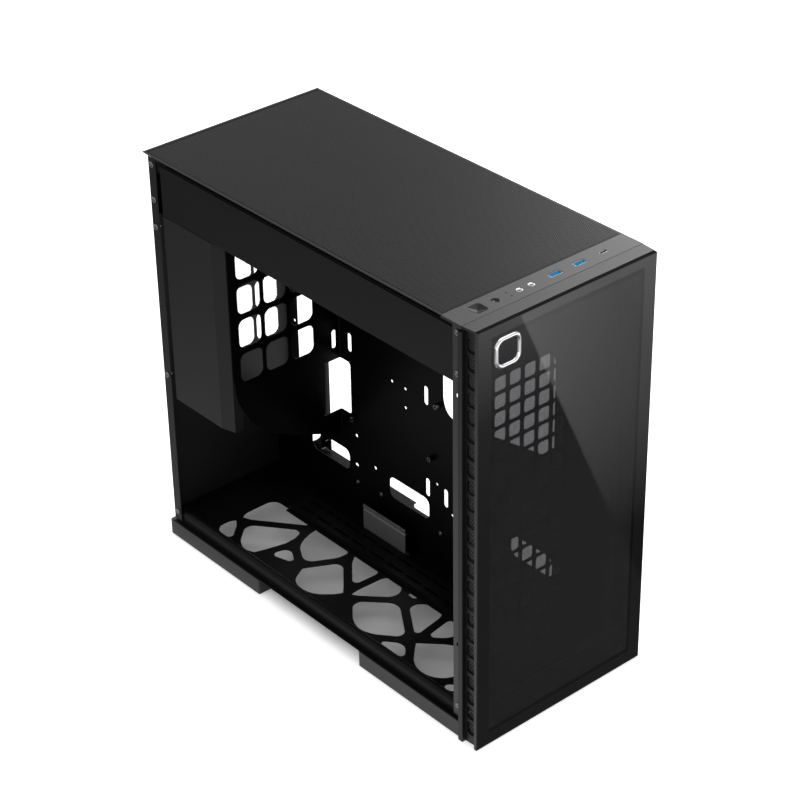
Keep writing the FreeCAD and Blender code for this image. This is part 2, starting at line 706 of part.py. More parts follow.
def rear_wall():
    body = new_body("rear_wall")
    section = sketch_on(body, "rear_section", "XY", "pillar_foot")
    inner = "rear_face - steel"
    flange = "rear_face - rear_flange"
    outline(section, [
        ("-flank", flange), ("-flank + steel", flange), ("-flank + steel", inner),
        ("flank - steel", inner), ("flank - steel", flange), ("flank", flange),
        ("flank", "rear_face"), ("-flank", "rear_face"),
    ])
    pad(body, section, "rim - pillar_foot")
    window = sketch_on(body, "rear_window", "XZ", "rear_face")
    bevelled_window(window, "rear_vent_x", "rear_vent_z", "vent_width + 1", "vent_height + 1", "vent_corner")
    cut = pocket(body, window)
    repeat(body, cut, window, "H_Axis", "vent_pitch_x", REAR_COLUMNS,
           ("V_Axis", "vent_pitch_z", REAR_ROWS))
    tall = sketch_on(body, "rear_exit", "XZ", "rear_face")
    bevelled_window(tall, "(exit_left + exit_right) / 2", "(exit_low + exit_high) / 2",
                   "exit_right - exit_left", "exit_high - exit_low", "exit_corner")
    pocket(body, tall)
    fold = sketch_on(body, "rear_fold", "XY", "exit_low + exit_corner")
    rectangle(fold, "exit_left - steel", "rear_face - exit_flange", "exit_left", "rear_face")
    pad(body, fold, "exit_high - exit_low - 2 * exit_corner")
    holes = sketch_on(body, "rear_screw_holes", "YZ", "0")
    for level in screw_levels(REAR_SCREWS):
        bore(holes, "rear_face - rear_flange / 2 - steel / 2", level, "screw_shank + play")
    pocket(body, holes)
    return body


def rear_filter():
    """Woven filter lying on the inner face of the rear windows."""
    left, low = numbers("rear_vent_x - vent_width / 2 - filter_border",
                        "rear_vent_z - vent_height / 2 - filter_border")
    wide = number(f"{REAR_COLUMNS - 1} * vent_pitch_x + vent_width + 2 * filter_border")
    tall = number(f"{REAR_ROWS - 1} * vent_pitch_z + vent_height + 2 * filter_border")
    thickness = number("filter_thickness")
    corner = Vector(left, number("rear_face - steel") - thickness, low)
    return keep_shape("rear_filter_mesh", Part.makeBox(wide, thickness, tall, corner))


# Front wall between its folded pillars

def front_wall():
    """Flat plate with its grid of small windows, between the webs of the two pillars."""
    steel, y_face, top, level = numbers("steel", "wall_face", "wall_top", "floor_level")
    reach = number("flank - pillar_width - steel")
    plate = Part.makeBox(2 * reach, steel, top - level, Vector(-reach, y_face, level))
    half_x, half_z = numbers("front_window / 2", "front_rise / 2")
    pitch, pitch_z = numbers("front_pitch", "front_pitch_z")
    cuts = []
    for column in range(FRONT_COLUMNS):
        for row in range(FRONT_ROWS):
            x_mid = number("front_column") + column * pitch
            z_mid = number("front_first") + row * pitch_z
            corner = Vector(x_mid - half_x, y_face - 1, z_mid - half_z)
            cuts.append(Part.makeBox(2 * half_x, steel + 2, 2 * half_z, corner))
    return keep_shape("front_wall", plate.cut(Part.makeCompound(cuts)))


def front_pillar(label, sign):
    """Folded upright: a web back to the front wall, a front leg and a side flange."""
    steel, flank, foot, rim = numbers("steel", "flank", "pillar_foot", "rim")
    y_front, y_back, pillar = numbers("front + panel_depth", "wall_back", "pillar_depth")
    above_rail, leg_top = numbers("rail_top + steel", "roof_top")
    inner = number("flank - pillar_width")

    def strip(x_low, x_high, y_high, z_low, z_high):
        start = x_low if sign > 0 else -x_high
        return Part.makeBox(x_high - x_low, y_high - y_front, z_high - z_low, Vector(start, y_front, z_low))

    web = strip(inner - steel, inner, y_back, above_rail, leg_top)
    leg = strip(inner - steel, flank, y_front + steel, above_rail, leg_top)
    flange = strip(flank - steel, flank, y_front + pillar, foot, rim)
    upright = web.multiFuse([leg, flange]).removeSplitter()
    y_hole = y_front + pillar / 2
    cuts = []
    for level in screw_levels(FRONT_SCREWS):
        start = Vector(sign * flank - 2, y_hole, number(level))
        cuts.append(prism(8, number("screw_shank + play"), start, Vector(4, 0, 0)))
    half = number("clip_size / 2")
    for level in CLIP_HOLES:
        start = Vector(sign * flank - 2, y_hole - half, in_height(level) - half)
        cuts.append(Part.makeBox(4, 2 * half, 2 * half, start))
    return keep_shape(label, upright.cut(cuts))


def front_sill():
    """Upright strip that closes the front under the floor, behind the bottom of the front panel."""
    return keep_shape("front_sill", slab(
        "-(vent_x - panel_wall - mesh_thickness - play)", "vent_x - panel_wall - mesh_thickness - play",
        "front + panel_depth - panel_wall", "front + panel_depth", "glass_foot + panel_wall", "floor_level"))


# Roof frame under the top cover

def roof_frame():
    body = new_body("roof_frame")
    section = sketch_on(body, "roof_section", "XZ", "front + panel_depth + steel + play")
    inner = "flank - 2 * steel"
    outline(section, [
        ("-flank + steel", "roof_top - roof_flange"), ("-(" + inner + ")", "roof_top - roof_flange"),
        ("-(" + inner + ")", "roof_top - steel"), (inner, "roof_top - steel"),
        (inner, "roof_top - roof_flange"), ("flank - steel", "roof_top - roof_flange"),
        ("flank - steel", "roof_top"), ("-flank + steel", "roof_top"),
    ])
    pad(body, section, "rear_face - front - panel_depth - 2 * steel - play")
    mouth = sketch_on(body, "roof_mouth", "XY", "roof_top")
    rectangle(mouth, "-flank + 2 * steel", "front", "flank - 2 * steel", "front + roof_setback")
    side = "flank - steel - roof_border"
    rectangle(mouth, f"-({side})", "front + roof_setback + roof_bar", side, "rear_face - steel - roof_bar")
    pocket(body, mouth)
    holes = sketch_on(body, "roof_holes", "YZ", "0")
    bore(holes, "rear_face - rear_flange / 2 - steel / 2", "roof_top - screw_drop", "screw_shank + play")
    bore(holes, "front + panel_depth + pillar_depth / 2", "roof_top - screw_drop", "screw_shank + play")
    pocket(body, holes)
    return body


# Deck of the recess under the roof, with the port opening and expansion slots of a turned board

def port_deck():
    body = new_body("port_deck")
    section = sketch_on(body, "deck_section", "XZ", "wall_back")
    outline(section, [("-flank + steel", "deck_top - steel"), ("flank - steel", "deck_top - steel"),
                      ("flank - steel", "deck_top"), ("-flank + steel", "deck_top")])
    pad(body, section, "rear_face - steel - wall_back")
    flange = sketch_on(body, "deck_flange_section", "XZ", "front + band_setback + steel")
    rectangle(flange, "flank - 2 * steel", "deck_top - steel", "flank - steel", "deck_top + deck_flange")
    pad(body, flange, "rear_face - rear_flange - steel - front - band_setback - steel")
    shield = sketch_on(body, "deck_ports", "XY", "deck_top")
    rectangle(shield, "slot_right - shield_height", "shield_rear - shield_width", "slot_right", "shield_rear")
    pocket(body, shield)
    slot = sketch_on(body, "deck_slot", "XY", "deck_top")
    first = "shield_rear + shield_gap"
    rectangle(slot, "slot_left", first, "slot_right", f"{first} + slot_width")
    bore(slot, "slot_left - cover_over / 2", f"{first} + slot_width / 2", "screw_shank + play")
    cut = pocket(body, slot)
    repeat(body, cut, slot, "V_Axis", "slot_pitch", SLOTS)
    return body


def slot_covers():
    """Blanking plates over the expansion slots, each held by one screw."""
    screws = []
    for index in range(SLOTS):
        middle = f"(shield_rear + shield_gap + slot_width / 2 + {index} * slot_pitch)"
        body = new_body(f"slot_cover_{index + 1}")
        profile = sketch_on(body, f"cover_outline_{index + 1}", "XY", "deck_top")
        rectangle(profile, "slot_left - cover_over", f"{middle} - cover_width / 2",
                  "slot_right + 2 * steel", f"{middle} + cover_width / 2")
        bore(profile, "slot_left - cover_over / 2", middle, "screw_shank + play")
        pad(body, profile, "cover_plate")
        seat = Vector(*numbers("slot_left - cover_over / 2", middle, "deck_top + cover_plate"))
        screws.append(screw_at(seat, Vector(0, 0, 1), "small_head"))
    keep_shape("slot_screws", Part.makeCompound(screws))


# Left side band and rear cover

def top_side_band():
    body = new_body("top_side_band")
    section = sketch_on(body, "band_section", "XZ", "front + band_setback")
    outline(section, [
        ("-flank", "band_low"), ("-flank + band_lip", "band_low"),
        ("-flank + band_lip", "band_low + steel"), ("-flank + steel", "band_low + steel"),
        ("-flank + steel", "band_high"), ("-flank", "band_high"),
    ])
    pad(body, section, "cover_end - band_setback")
    return body


def rear_cover():
    """Cover beside the rear chamber: flat outside, with a lip that turns in to the partition."""
    body = new_body("rear_cover")
    section = sketch_on(body, "cover_section", "XY", "cover_low")
    lip = "-flank + cover_lip"
    back = "partition_back + steel"
    outline(section, [
        ("-flank", "front + cover_end"), ("-flank", "front + cover_bend"), (lip, "partition_back"),
        (f"{lip} + cover_tongue", "partition_back"), (f"{lip} + cover_tongue", back),
        (f"{lip} + steel", back), ("-flank + steel", "front + cover_bend"),
        ("-flank + steel", "front + cover_end - steel"),
        (f"{lip} + steel", "front + cover_end - steel"), (f"{lip} + steel", "front + cover_end"),
    ])
    pad(body, section, "deck_top - steel - cover_low")
    return body


# Slotted rail on the floor and the drive bracket beside the tray

def slotted_rail():
    body = new_body("slotted_rail")
    section = sketch_on(body, "rail_section", "XZ", "front + rail_start")
    low, top = "floor_level", "floor_level + rail_rise"
    outline(section, [
        ("rail_left - rail_foot", low), ("rail_left + steel", low), ("rail_left + steel", f"{top} - steel"),
        ("rail_right - steel", f"{top} - steel"), ("rail_right - steel", low), ("rail_right + rail_foot", low),
        ("rail_right + rail_foot", f"{low} + steel"), ("rail_right", f"{low} + steel"), ("rail_right", top),
        ("rail_left", top), ("rail_left", f"{low} + steel"), ("rail_left - rail_foot", f"{low} + steel"),
    ])
    pad(body, section, "rail_end - rail_start")
    slots = sketch_on(body, "rail_slots", "XY", top)
    middle = "(rail_left + rail_right) / 2"
    first = "front + rail_start + 4 + rail_slot / 2"
    for side in ("-", "+"):
        bevelled_window(slots, f"{middle} {side} rail_row_gap / 2", first, "rail_slot_width",
                        "rail_slot", "rail_slot_width / 3")
    cut = pocket(body, slots)
    repeat(body, cut, slots, "V_Axis", "rail_slot_pitch", RAIL_SLOTS)
    return body


def drive_bracket():
    """Upright plate beside the tray, creased along its top, on a foot turned to the tray."""
    body = new_body("drive_bracket")
    section = sketch_on(body, "bracket_section", "XZ", "front + bracket_start")
    low, top, crease = "floor_level + steel", "bracket_height", "bracket_height - bracket_crease"
    back = "bracket_face + steel"
    outline(section, [
        ("bracket_face", low), ("bracket_face", f"{crease} - bracket_fold"),
        ("bracket_face + bracket_fold", crease), ("bracket_face", f"{crease} + bracket_fold"),
        ("bracket_face", top), (back, top), (back, f"{crease} + bracket_fold"),
        (f"{back} + bracket_fold", crease), (back, f"{crease} - bracket_fold"),
        (back, f"{low} + steel"), (f"{back} + bracket_foot", f"{low} + steel"), (f"{back} + bracket_foot", low),
    ])
    pad(body, section, "bracket_length")
    return body


# Top cover with undercut edges, and the port strip ahead of it

def frustum(half_low, half_high, y_front, y_rear_low, y_rear_high, z_low, z_high):
    """A block whose sides and rear lean outward with height."""
    def ring(half, y_rear, z):
        points = [Vector(-half, y_front, z), Vector(half, y_front, z),
                  Vector(half, y_rear, z), Vector(-half, y_rear, z)]
        return Part.makePolygon(points + points[:1])
    return Part.makeLoft([ring(half_low, y_rear_low, z_low), ring(half_high, y_rear_high, z_high)], True, True)


def top_cover():
    half, flank, rim, top = numbers("width / 2", "flank", "rim", "height")
    y_front, y_rear = numbers("front + cover_setback", "rear_face")
    wall, sheet_top, undercut = numbers("cover_wall", "cover_top", "flank_inset")
    shell = frustum(flank, half, y_front, y_rear - undercut, y_rear, rim, top)
    slope = wall * math.hypot(undercut, top - rim) / (top - rim)
    inner_top = top - sheet_top
    rise = (inner_top - rim) / (top - rim)
    hollow = frustum(flank - slope, flank + rise * undercut - slope, y_front + wall,
                     y_rear - undercut - slope, y_rear - (1 - rise) * undercut - slope, rim, inner_top)
    cover = shell.cut(hollow)
    roof = number("roof_top")
    pegs = []
    for x_peg in (-flank + 12, flank - 12):
        for part in (0.08, 0.5, 0.92):
            y_peg = y_front + part * (y_rear - undercut - y_front)
            pegs.append(prism(8, number("peg_radius"), Vector(x_peg, y_peg, roof),
                              Vector(0, 0, inner_top - roof + 0.2)))
    return keep_shape("top_cover", cover.multiFuse(pegs).removeSplitter())


def port_strip():
    half, flank, rim, top = numbers("width / 2", "flank", "rim", "height")
    y_front, y_rear = numbers("front + strip_setback", "front + cover_setback - seam")
    wall, play, line = numbers("strip_wall", "play", "port_y")
    plate = frustum(flank, half, y_front, y_rear, y_rear, rim, top)
    lean = (half - flank) * (top - wall - rim) / (top - rim)
    hollow = frustum(flank - wall, flank + lean - wall, y_front + wall, y_rear - wall, y_rear - wall, rim,
                     top - wall)
    strip = plate.cut(hollow)
    board_top, boss, y_board = numbers("board_top", "boss_radius", "port_y + boss_offset")
    bosses = []
    for x_boss in STRIP_BOSSES:
        centre = Vector(in_width(x_boss), y_board, board_top)
        bosses.append(prism(8, boss, centre, Vector(0, 0, top - wall - board_top + 0.2)))
    strip = strip.multiFuse(bosses)

    up = Vector(0, 0, wall + 2)
    under = top - wall - 1
    side = number("power_size") / 2 + play
    cuts = [cutter(box_corners(number("power_x") - side, line - side, number("power_x") + side, line + side),
                   number("power_corner"), lambda p: Vector(p.x, p.y, under), up)]
    cuts.append(prism(16, number("reset_radius + play"), Vector(number("reset_x"), line, under), up))
    for sign in (-1, 1):
        centre = Vector(number("led_x"), line + sign * number("led_gap") / 2, under)
        cuts.append(prism(8, number("led_radius"), centre, up))
    for index in range(2):
        x_jack = number("jack_first") + index * number("jack_pitch")
        cuts.append(prism(16, number("jack_ring") + 0.05, Vector(x_jack, line, under), up))
        x_port = number("usb_first") + index * number("usb_pitch")
        reach_x, reach_y = number("usb_length") / 2 + play, number("usb_width") / 2 + play
        corner = Vector(x_port - reach_x, line - reach_y, under)
        cuts.append(Part.makeBox(2 * reach_x, 2 * reach_y, wall + 2, corner))
    oval = oval_prism(number("oval_x"), line, number("oval_length") + 2 * play,
                      number("oval_width") + 2 * play, under, top + 1)
    cuts.append(oval)
    return keep_shape("port_strip", strip.cut(cuts).removeSplitter())


def oval_prism(x_mid, y_mid, length, width, z_low, z_high):
    """A bar with rounded ends standing on end, each end in five flats."""
    radius, reach = width / 2, length / 2 - width / 2
    ring = []
    for side, start in ((1, -90), (-1, 90)):
        for step in range(6):
            turn = math.radians(start + 36 * step)
            hub = Vector(x_mid + side * reach, y_mid, z_low)
            ring.append(hub + Vector(radius * math.cos(turn), radius * math.sin(turn), 0))
    return Part.Face(Part.makePolygon(ring + ring[:1])).extrude(Vector(0, 0, z_high - z_low))


def port_board():
    return keep_shape("port_board", slab("-board_half", "board_half", "front + board_setback",
                                         "front + board_setback + board_width",
                                         "board_top - board_thickness", "board_top"))


# Buttons with their switches

def power_button():
    """Square cap with four facets meeting in the middle, on a flange and a stem."""
    x_mid, line, side, corner = numbers("power_x", "port_y", "power_size / 2", "power_corner")
    top, wall, rise = numbers("height - button_sink", "strip_wall", "power_rise")
    flange_top = number("height - strip_wall - play")
    flange = side + number("flange_reach")
    low = flange_top - number("flange_thickness")
    square = box_corners(x_mid - side, line - side, x_mid + side, line + side)
    cap = cutter(square, corner, lambda p: Vector(p.x, p.y, low), Vector(0, 0, top + rise - low))
    peak = Vector(x_mid, line, top + rise)
    reach = side * 1.02
    ring = [Vector(x_mid + a * reach, line + b * reach, top) for a, b in ((-1, -1), (1, -1), (1, 1), (-1, 1))]
    base = [point - Vector(0, 0, top - low) for point in ring]
    faces = [Part.Face(Part.makePolygon([base[i] for i in (0, 3, 2, 1, 0)]))]
    for index in range(4):
        after = (index + 1) % 4
        for corners in ([base[index], base[after], ring[after], ring[index]], [ring[index], ring[after], peak]):
            faces.append(Part.Face(Part.makePolygon(corners + corners[:1])))
    pyramid = Part.makeSolid(Part.makeShell(faces))
    cap = cap.common(pyramid)
    rim = Part.makeBox(2 * flange, 2 * flange, flange_top - low, Vector(x_mid - flange, line - flange, low))
    stem_low = number("board_top + switch_height + power_travel + play")
    reach = Vector(0, 0, low - stem_low + 0.2)
    stem = prism(8, number("plunger_radius") + 0.8, Vector(x_mid, line, stem_low), reach)
    return keep_shape("power_button", cap.multiFuse([rim, stem]).removeSplitter())


def reset_button():
    """Many-sided cap with a sunk middle, on a flange and a stem."""
    x_mid, line, radius, play = numbers("reset_x", "port_y", "reset_radius", "play")
    top = number("height - button_sink / 2")
    flange_top = number("height - strip_wall - play")
    low = flange_top - number("flange_thickness")
    cap = prism(16, radius, Vector(x_mid, line, low), Vector(0, 0, top - low))
    dish = prism(16, 0.7 * radius, Vector(x_mid, line, top - play), Vector(0, 0, 1))
    rim = prism(16, radius + number("flange_reach"), Vector(x_mid, line, low), Vector(0, 0, flange_top - low))
    stem_low = number("board_top + switch_height + reset_travel + play")
    reach = Vector(0, 0, low - stem_low + 0.2)
    stem = prism(8, number("plunger_radius") + 0.8, Vector(x_mid, line, stem_low), reach)
    return keep_shape("reset_button", cap.cut(dish).multiFuse([rim, stem]).removeSplitter())


def switch(label, plunger_label, x_name, travel):
    """Press switch on the board: a housing with a bore, and the plunger that rides in it."""
    x_mid, line, side, top = numbers(x_name, "port_y", "switch_side / 2", "board_top + switch_height")
    board, well_radius = numbers("board_top", "plunger_radius + 2 * play")
    housing = Part.makeBox(2 * side, 2 * side, top - board, Vector(x_mid - side, line - side, board))
    depth = number(travel) + 1.2
    well = prism(8, well_radius, Vector(x_mid, line, top - depth), Vector(0, 0, depth + 1))
    keep_shape(label, housing.cut(well))
    low = top - 0.9
    high = number(f"board_top + switch_height + {travel} + play")
    plunger = prism(8, number("plunger_radius"), Vector(x_mid, line, low), Vector(0, 0, high - low))
    keep_shape(plunger_label, plunger)


# Ports

def indicator_lenses():
    """One light guide on the port board: two posts up to the strip, joined by a low web."""
    radius, gap, line = numbers("led_radius - 0.05", "led_gap", "port_y")
    across, base = numbers("led_x", "board_top")
    reach = Vector(0, 0, number("board_drop") - 0.3)
    guide = slab(across - radius, across + radius, line - gap / 2, line + gap / 2, base, base + 1)
    for sign in (-1, 1):
        guide = guide.fuse(prism(8, radius, Vector(across, line + sign * gap / 2, base), reach))
    return keep_shape("indicator_lenses", guide.removeSplitter())


def audio_jack(index):
    """Housing on the board with a bright collar round the plug bore."""
    x_mid = number("jack_first") + index * number("jack_pitch")
    line, side, board, top = numbers("port_y", "jack_body / 2", "board_top", "height")
    under = top - number("strip_wall + play")
    housing = Part.makeBox(2 * side, 2 * side, under - board, Vector(x_mid - side, line - side, board))
    collar = prism(16, number("jack_ring"), Vector(x_mid, line, under - 0.2), Vector(0, 0, top - under + 0.2))
    plug_bore = prism(12, number("jack_bore"), Vector(x_mid, line, top - 12), Vector(0, 0, 14))
    return keep_shape(f"audio_jack_{index + 1}", housing.fuse(collar).cut(plug_bore).removeSplitter())


def wide_port(index):
    """Rectangular port: a folded steel shell and the moulded tongue inside it."""
    x_mid = f"(usb_first + {index} * usb_pitch)"
    shell = slab(f"{x_mid} - usb_length / 2", f"{x_mid} + usb_length / 2", "port_y - usb_width / 2",
                 "port_y + usb_width / 2", "board_top", "height - 0.4")
    hollow = slab(f"{x_mid} - usb_length / 2 + usb_wall", f"{x_mid} + usb_length / 2 - usb_wall",
                  "port_y - usb_width / 2 + usb_wall", "port_y + usb_width / 2 - usb_wall",
                  "board_top - 1", "height + 1")
    keep_shape(f"wide_port_shell_{index + 1}", shell.cut(hollow))
    base = slab(f"{x_mid} - usb_length / 2 + usb_wall", f"{x_mid} + usb_length / 2 - usb_wall",
                "port_y - usb_width / 2 + usb_wall", "port_y + usb_width / 2 - usb_wall",
                "board_top", "board_top + 7")
    blade = slab(f"{x_mid} - usb_length / 2 + usb_wall + 0.5", f"{x_mid} + usb_length / 2 - usb_wall - 0.5",
                 "port_y + usb_width / 2 - usb_wall - tongue_width", "port_y + usb_width / 2 - usb_wall - 0.3",
                 "board_top + 6", "height - tongue_sink")
    keep_shape(f"wide_port_tongue_{index + 1}", base.fuse(blade).removeSplitter())


def small_port():
    """Oval port: a drawn steel shell and its thin tongue."""
    x_mid, line, length, width = numbers("oval_x", "port_y", "oval_length", "oval_width")
    wall, board, top = numbers("usb_wall", "board_top", "height - 0.4")
    shell = oval_prism(x_mid, line, length, width, board, top)
    hollow = oval_prism(x_mid, line, length - 2 * wall, width - 2 * wall, board - 1, top + 1)
    keep_shape("small_port_shell", shell.cut(hollow))
    base = oval_prism(x_mid, line, length - 2 * wall, width - 2 * wall, board, board + 8)
    blade = Part.makeBox(length - 3.2, 0.8, top - 1 - board - 7, Vector(x_mid - length / 2 + 1.6, line - 0.4, board + 7))
    keep_shape("small_port_tongue", base.fuse(blade).removeSplitter())


# Front panel, glass and badge place

def front_panel():
    """Glass frame: thin lip round the pane's back, between a top bar and a bottom bar."""
    body = new_body("front_panel")
    y_back, y_step = "front + panel_depth", "front + panel_depth - column_depth"
    y_lip, inner, lip = "front + glass_thickness", "vent_x - panel_wall", "column_x - bezel_border"
    z_low, z_high = "glass_foot + panel_wall", "height - strip_wall"
    ring = sketch_on(body, "lip_ring", "XZ", y_lip)
    rectangle(ring, f"-({inner})", z_low, inner, z_high)
    rectangle(ring, f"-({lip})", f"{z_low} + bezel_border", lip, f"{z_high} - bezel_border")
    pad(body, ring, "panel_wall")
    top = sketch_on(body, "top_bar", "XY", z_high)
    y_end = "front + strip_setback - seam"
    outline(top, [("-column_x + 1.3", y_lip), ("column_x - 1.3", y_lip), ("column_x", y_end), ("-column_x", y_end)])
    pad(body, top, "strip_wall")
    bottom = sketch_on(body, "bottom_bar", "XY", "glass_foot")
    outline(bottom, [("-vent_x + 1.3", y_lip), ("vent_x - 1.3", y_lip), ("vent_x", y_step), ("column_x", y_step),
                     ("column_x", y_back), ("-column_x", y_back), ("-column_x", y_step), ("-vent_x", y_step)])
    pad(body, bottom, "panel_wall")
    return body


def front_side(label, sign):
    """Vented side moulding between the bars of the glass frame, with its rear column."""
    body = new_body(label)
    y_back, y_step = "front + panel_depth", "front + panel_depth - column_depth"
    y_lip, inner = "front + glass_thickness", "vent_x - panel_wall"
    section = sketch_on(body, "side_section", "XY", "glass_foot + panel_wall")
    corners = [("column_x", y_back), ("column_x", y_step), ("vent_x", y_step),
               ("vent_x", y_lip), (inner, y_lip), (inner, y_back)]
    outline(section, [(f"{sign} * ({across})", along) for across, along in corners])
    pad(body, section, "height - glass_foot - panel_wall - strip_wall")
    notch = sketch_on(body, "strip_notch", "XY", "height - strip_wall")
    rectangle(notch, "-column_x - 1", "front + strip_setback - seam", "column_x + 1", f"{y_back} + 1")
    pocket(body, notch, "cover_rise - strip_wall + seam")
    vent = sketch_on(body, "side_vent", "YZ", "0")
    middle = "(front + (panel_depth - column_depth + glass_thickness) / 2)"
    bevelled_window(vent, middle, "vent_first", "panel_depth - column_depth - glass_thickness - 3.4",
                   "vent_size", "vent_round")
    cut = pocket(body, vent)
    repeat(body, cut, vent, "V_Axis", "vent_pitch", SIDE_VENTS)
    return body


def vent_mesh(label, side):
    """Honeycomb strip lying on the inner face of one side's vents."""
    inner = number("vent_x - panel_wall")
    thickness = number("mesh_thickness")
    x_low = inner - thickness if side > 0 else -inner
    y_low, y_high = numbers("front + glass_thickness + panel_wall", "front + panel_depth - 2")
    z_low, z_high = numbers("vent_first - vent_size / 2 - 2",
                            f"vent_first + {SIDE_VENTS - 1} * vent_pitch + vent_size / 2 + 1.5")
    strip = Part.makeBox(thickness, y_high - y_low, z_high - z_low, Vector(x_low, y_low, z_low))
    return keep_shape(label, strip)


def front_glass():
    body = new_body("front_glass")
    pane = sketch_on(body, "pane", "XZ", "front")
    rectangle(pane, "-glass_width / 2", "glass_foot", "glass_width / 2", "height - glass_top")
    base = pad(body, pane, "glass_thickness")
    front = number("front")
    names = [f"Edge{i}" for i, edge in enumerate(base.Shape.Edges, start=1)
             if abs(edge.CenterOfMass.y - front) < 0.01]
    bevel = body.newObject("PartDesign::Chamfer", "glass_bevel")
    bevel.Base = (base, names)
    bevel.setExpression("Size", bind("glass_edge"))
    doc.recompute()
    return body


def badge():
    """Plain bright bezel on the glass round a bare dark insert."""
    body = new_body("badge_bezel")
    ring = sketch_on(body, "bezel_ring", "XZ", "front - badge_depth")
    bevelled_window(ring, "badge_x", "badge_z", "badge_size", "badge_size", "badge_corner")
    bevelled_window(ring, "badge_x", "badge_z", "badge_size - 2 * badge_band",
                    "badge_size - 2 * badge_band", "badge_corner - badge_band / 2")
    base = pad(body, ring, "badge_depth")
    face = number("front - badge_depth")
    bevel_edges(body, base, "badge_depth / 2", lambda middle, way: abs(middle.y - face) < 0.01)
    insert = new_body("badge_insert")
    plate = sketch_on(insert, "insert_plate", "XZ", "front - badge_depth / 3")
    inner = "badge_size - 2 * badge_band - 2 * play"
    bevelled_window(plate, "badge_x", "badge_z", inner, inner, "badge_corner - badge_band / 2")
    pad(insert, plate, "badge_depth / 3")


# Feet

def foot(label, side, start, length):
    body = new_body(label)
    inner = f"({side} * (width / 2 - foot_inset - foot_width))"
    outer = f"({side} * (width / 2 - foot_inset))"
    section = sketch_on(body, label + "_section", "XZ", start)
    outline(section, [(outer, "pad_thickness"), (outer, "foot_height"),
                      (inner, "foot_height"), (inner, "pad_thickness")])
    base = pad(body, section, length)
    edge_x = number(outer)
    bevel_edges(body, base, "foot_edge", lambda middle, way: abs(way.z) > 0.99 and abs(middle.x - edge_x) < 0.01)
    pad_body = new_body(label.replace("foot", "pad"))
    block = sketch_on(pad_body, label + "_pad", "XY", "0")
    bevelled_window(block, f"({inner} + {outer}) / 2", f"{start} + {length} / 2", "pad_width", "pad_length",
                    "pad_width / 5")
    pad(pad_body, block, "pad_thickness")


# Fasteners

def screw_at(seat, outward, head="screw_head"):
    """A screw head seated at a point, its shank running in."""
    crown = prism(8, number(head), seat, outward * number("screw_rise"))
    shank = prism(6, number("screw_shank"), seat, outward * -number("screw_grip"))
    return crown.fuse(shank)


def panel_screws():
    flank, y_rear, y_front = numbers("flank", "rear_face - rear_flange / 2 - steel / 2",
                                     "front + panel_depth + pillar_depth / 2")
    screws = []
    for side in (-1, 1):
        for y_screw, heights in ((y_rear, REAR_SCREWS), (y_front, FRONT_SCREWS)):
            for level in screw_levels(heights):
                screws.append(screw_at(Vector(side * flank, y_screw, number(level)), Vector(side, 0, 0)))
    return keep_shape("panel_screws", Part.makeCompound(screws))


def tray_fasteners():
    """Hexagonal standoffs on the tray's board side, and the tray's own small screws."""
    x_left, front, radius, tall = numbers("tray_offset", "front", "stud_bore", "stud_height")
    corner = number("stud_flat") / math.sqrt(3)
    along = Vector(tall, 0, 0)
    depth = Vector(tall - 1, 0, 0)
    studs = []
    for y_stud, z_stud in CORNER_STUDS + MIDDLE_STUDS:
        tip = Vector(x_left - tall, front + in_depth(y_stud), in_height(z_stud))
        if (y_stud, z_stud) in CORNER_STUDS:
            hole = Part.makeCylinder(radius, depth.Length, tip, depth)
        else:
            hole = prism(8, radius, tip, depth)
        studs.append(prism(6, corner, tip, along).cut(hole))
    keep_shape("standoffs", Part.makeCompound(studs))
    screws = []
    for y_screw, z_screw in TRAY_SCREWS:
        seat = Vector(x_left, front + in_depth(y_screw), in_height(z_screw))
        screws.append(screw_at(seat, Vector(-1, 0, 0), "small_head"))
    keep_shape("tray_screws", Part.makeCompound(screws))


floor_pan()
motherboard_tray()
rear_wall()
rear_filter()
front_wall()
front_pillar("front_pillar_left", -1)
front_pillar("front_pillar_right", 1)
front_sill()
roof_frame()
port_deck()
slot_covers()
top_side_band()
rear_cover()
slotted_rail()
drive_bracket()
top_cover()
port_strip()
port_board()
power_button()
reset_button()
switch("power_switch", "power_plunger", "power_x", "power_travel")
switch("reset_switch", "reset_plunger", "reset_x", "reset_travel")
indicator_lenses()
for port in range(2):
    audio_jack(port)
    wide_port(port)
small_port()
front_panel()
front_side("front_side_left", -1)
front_side("front_side_right", 1)
vent_mesh("vent_mesh_left", -1)
vent_mesh("vent_mesh_right", 1)
front_glass()
badge()
for side_name, side_sign in (("left", "-1"), ("right", "1")):
    foot(f"front_{side_name}_foot", side_sign, "front + panel_depth", "foot_front")
    foot(f"rear_{side_name}_foot", side_sign, "depth / 2 - foot_length", "foot_length")
panel_screws()
tray_fasteners()

doc.recompute()
for item in doc.Objects:
    if "Invalid" in item.State or "Error" in item.State:
        raise SystemExit(f"{item.Label} failed: {item.State}")
for node in NODES:
    if node.Shape.isNull() or not node.Shape.isValid() or not node.Shape.Solids:
        raise SystemExit(f"{node.Label} has no valid shape")
os.makedirs("parts", exist_ok=True)
for node in NODES:
    node.Shape.exportStep(f"parts/{node.Label}.step")
print(len(NODES), "nodes written")
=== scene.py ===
import json
import logging
import math
from dataclasses import dataclass
from enum import Enum
from typing import Callable, Optional, Sequence

import bmesh
import bpy
from mathutils import Matrix, Vector


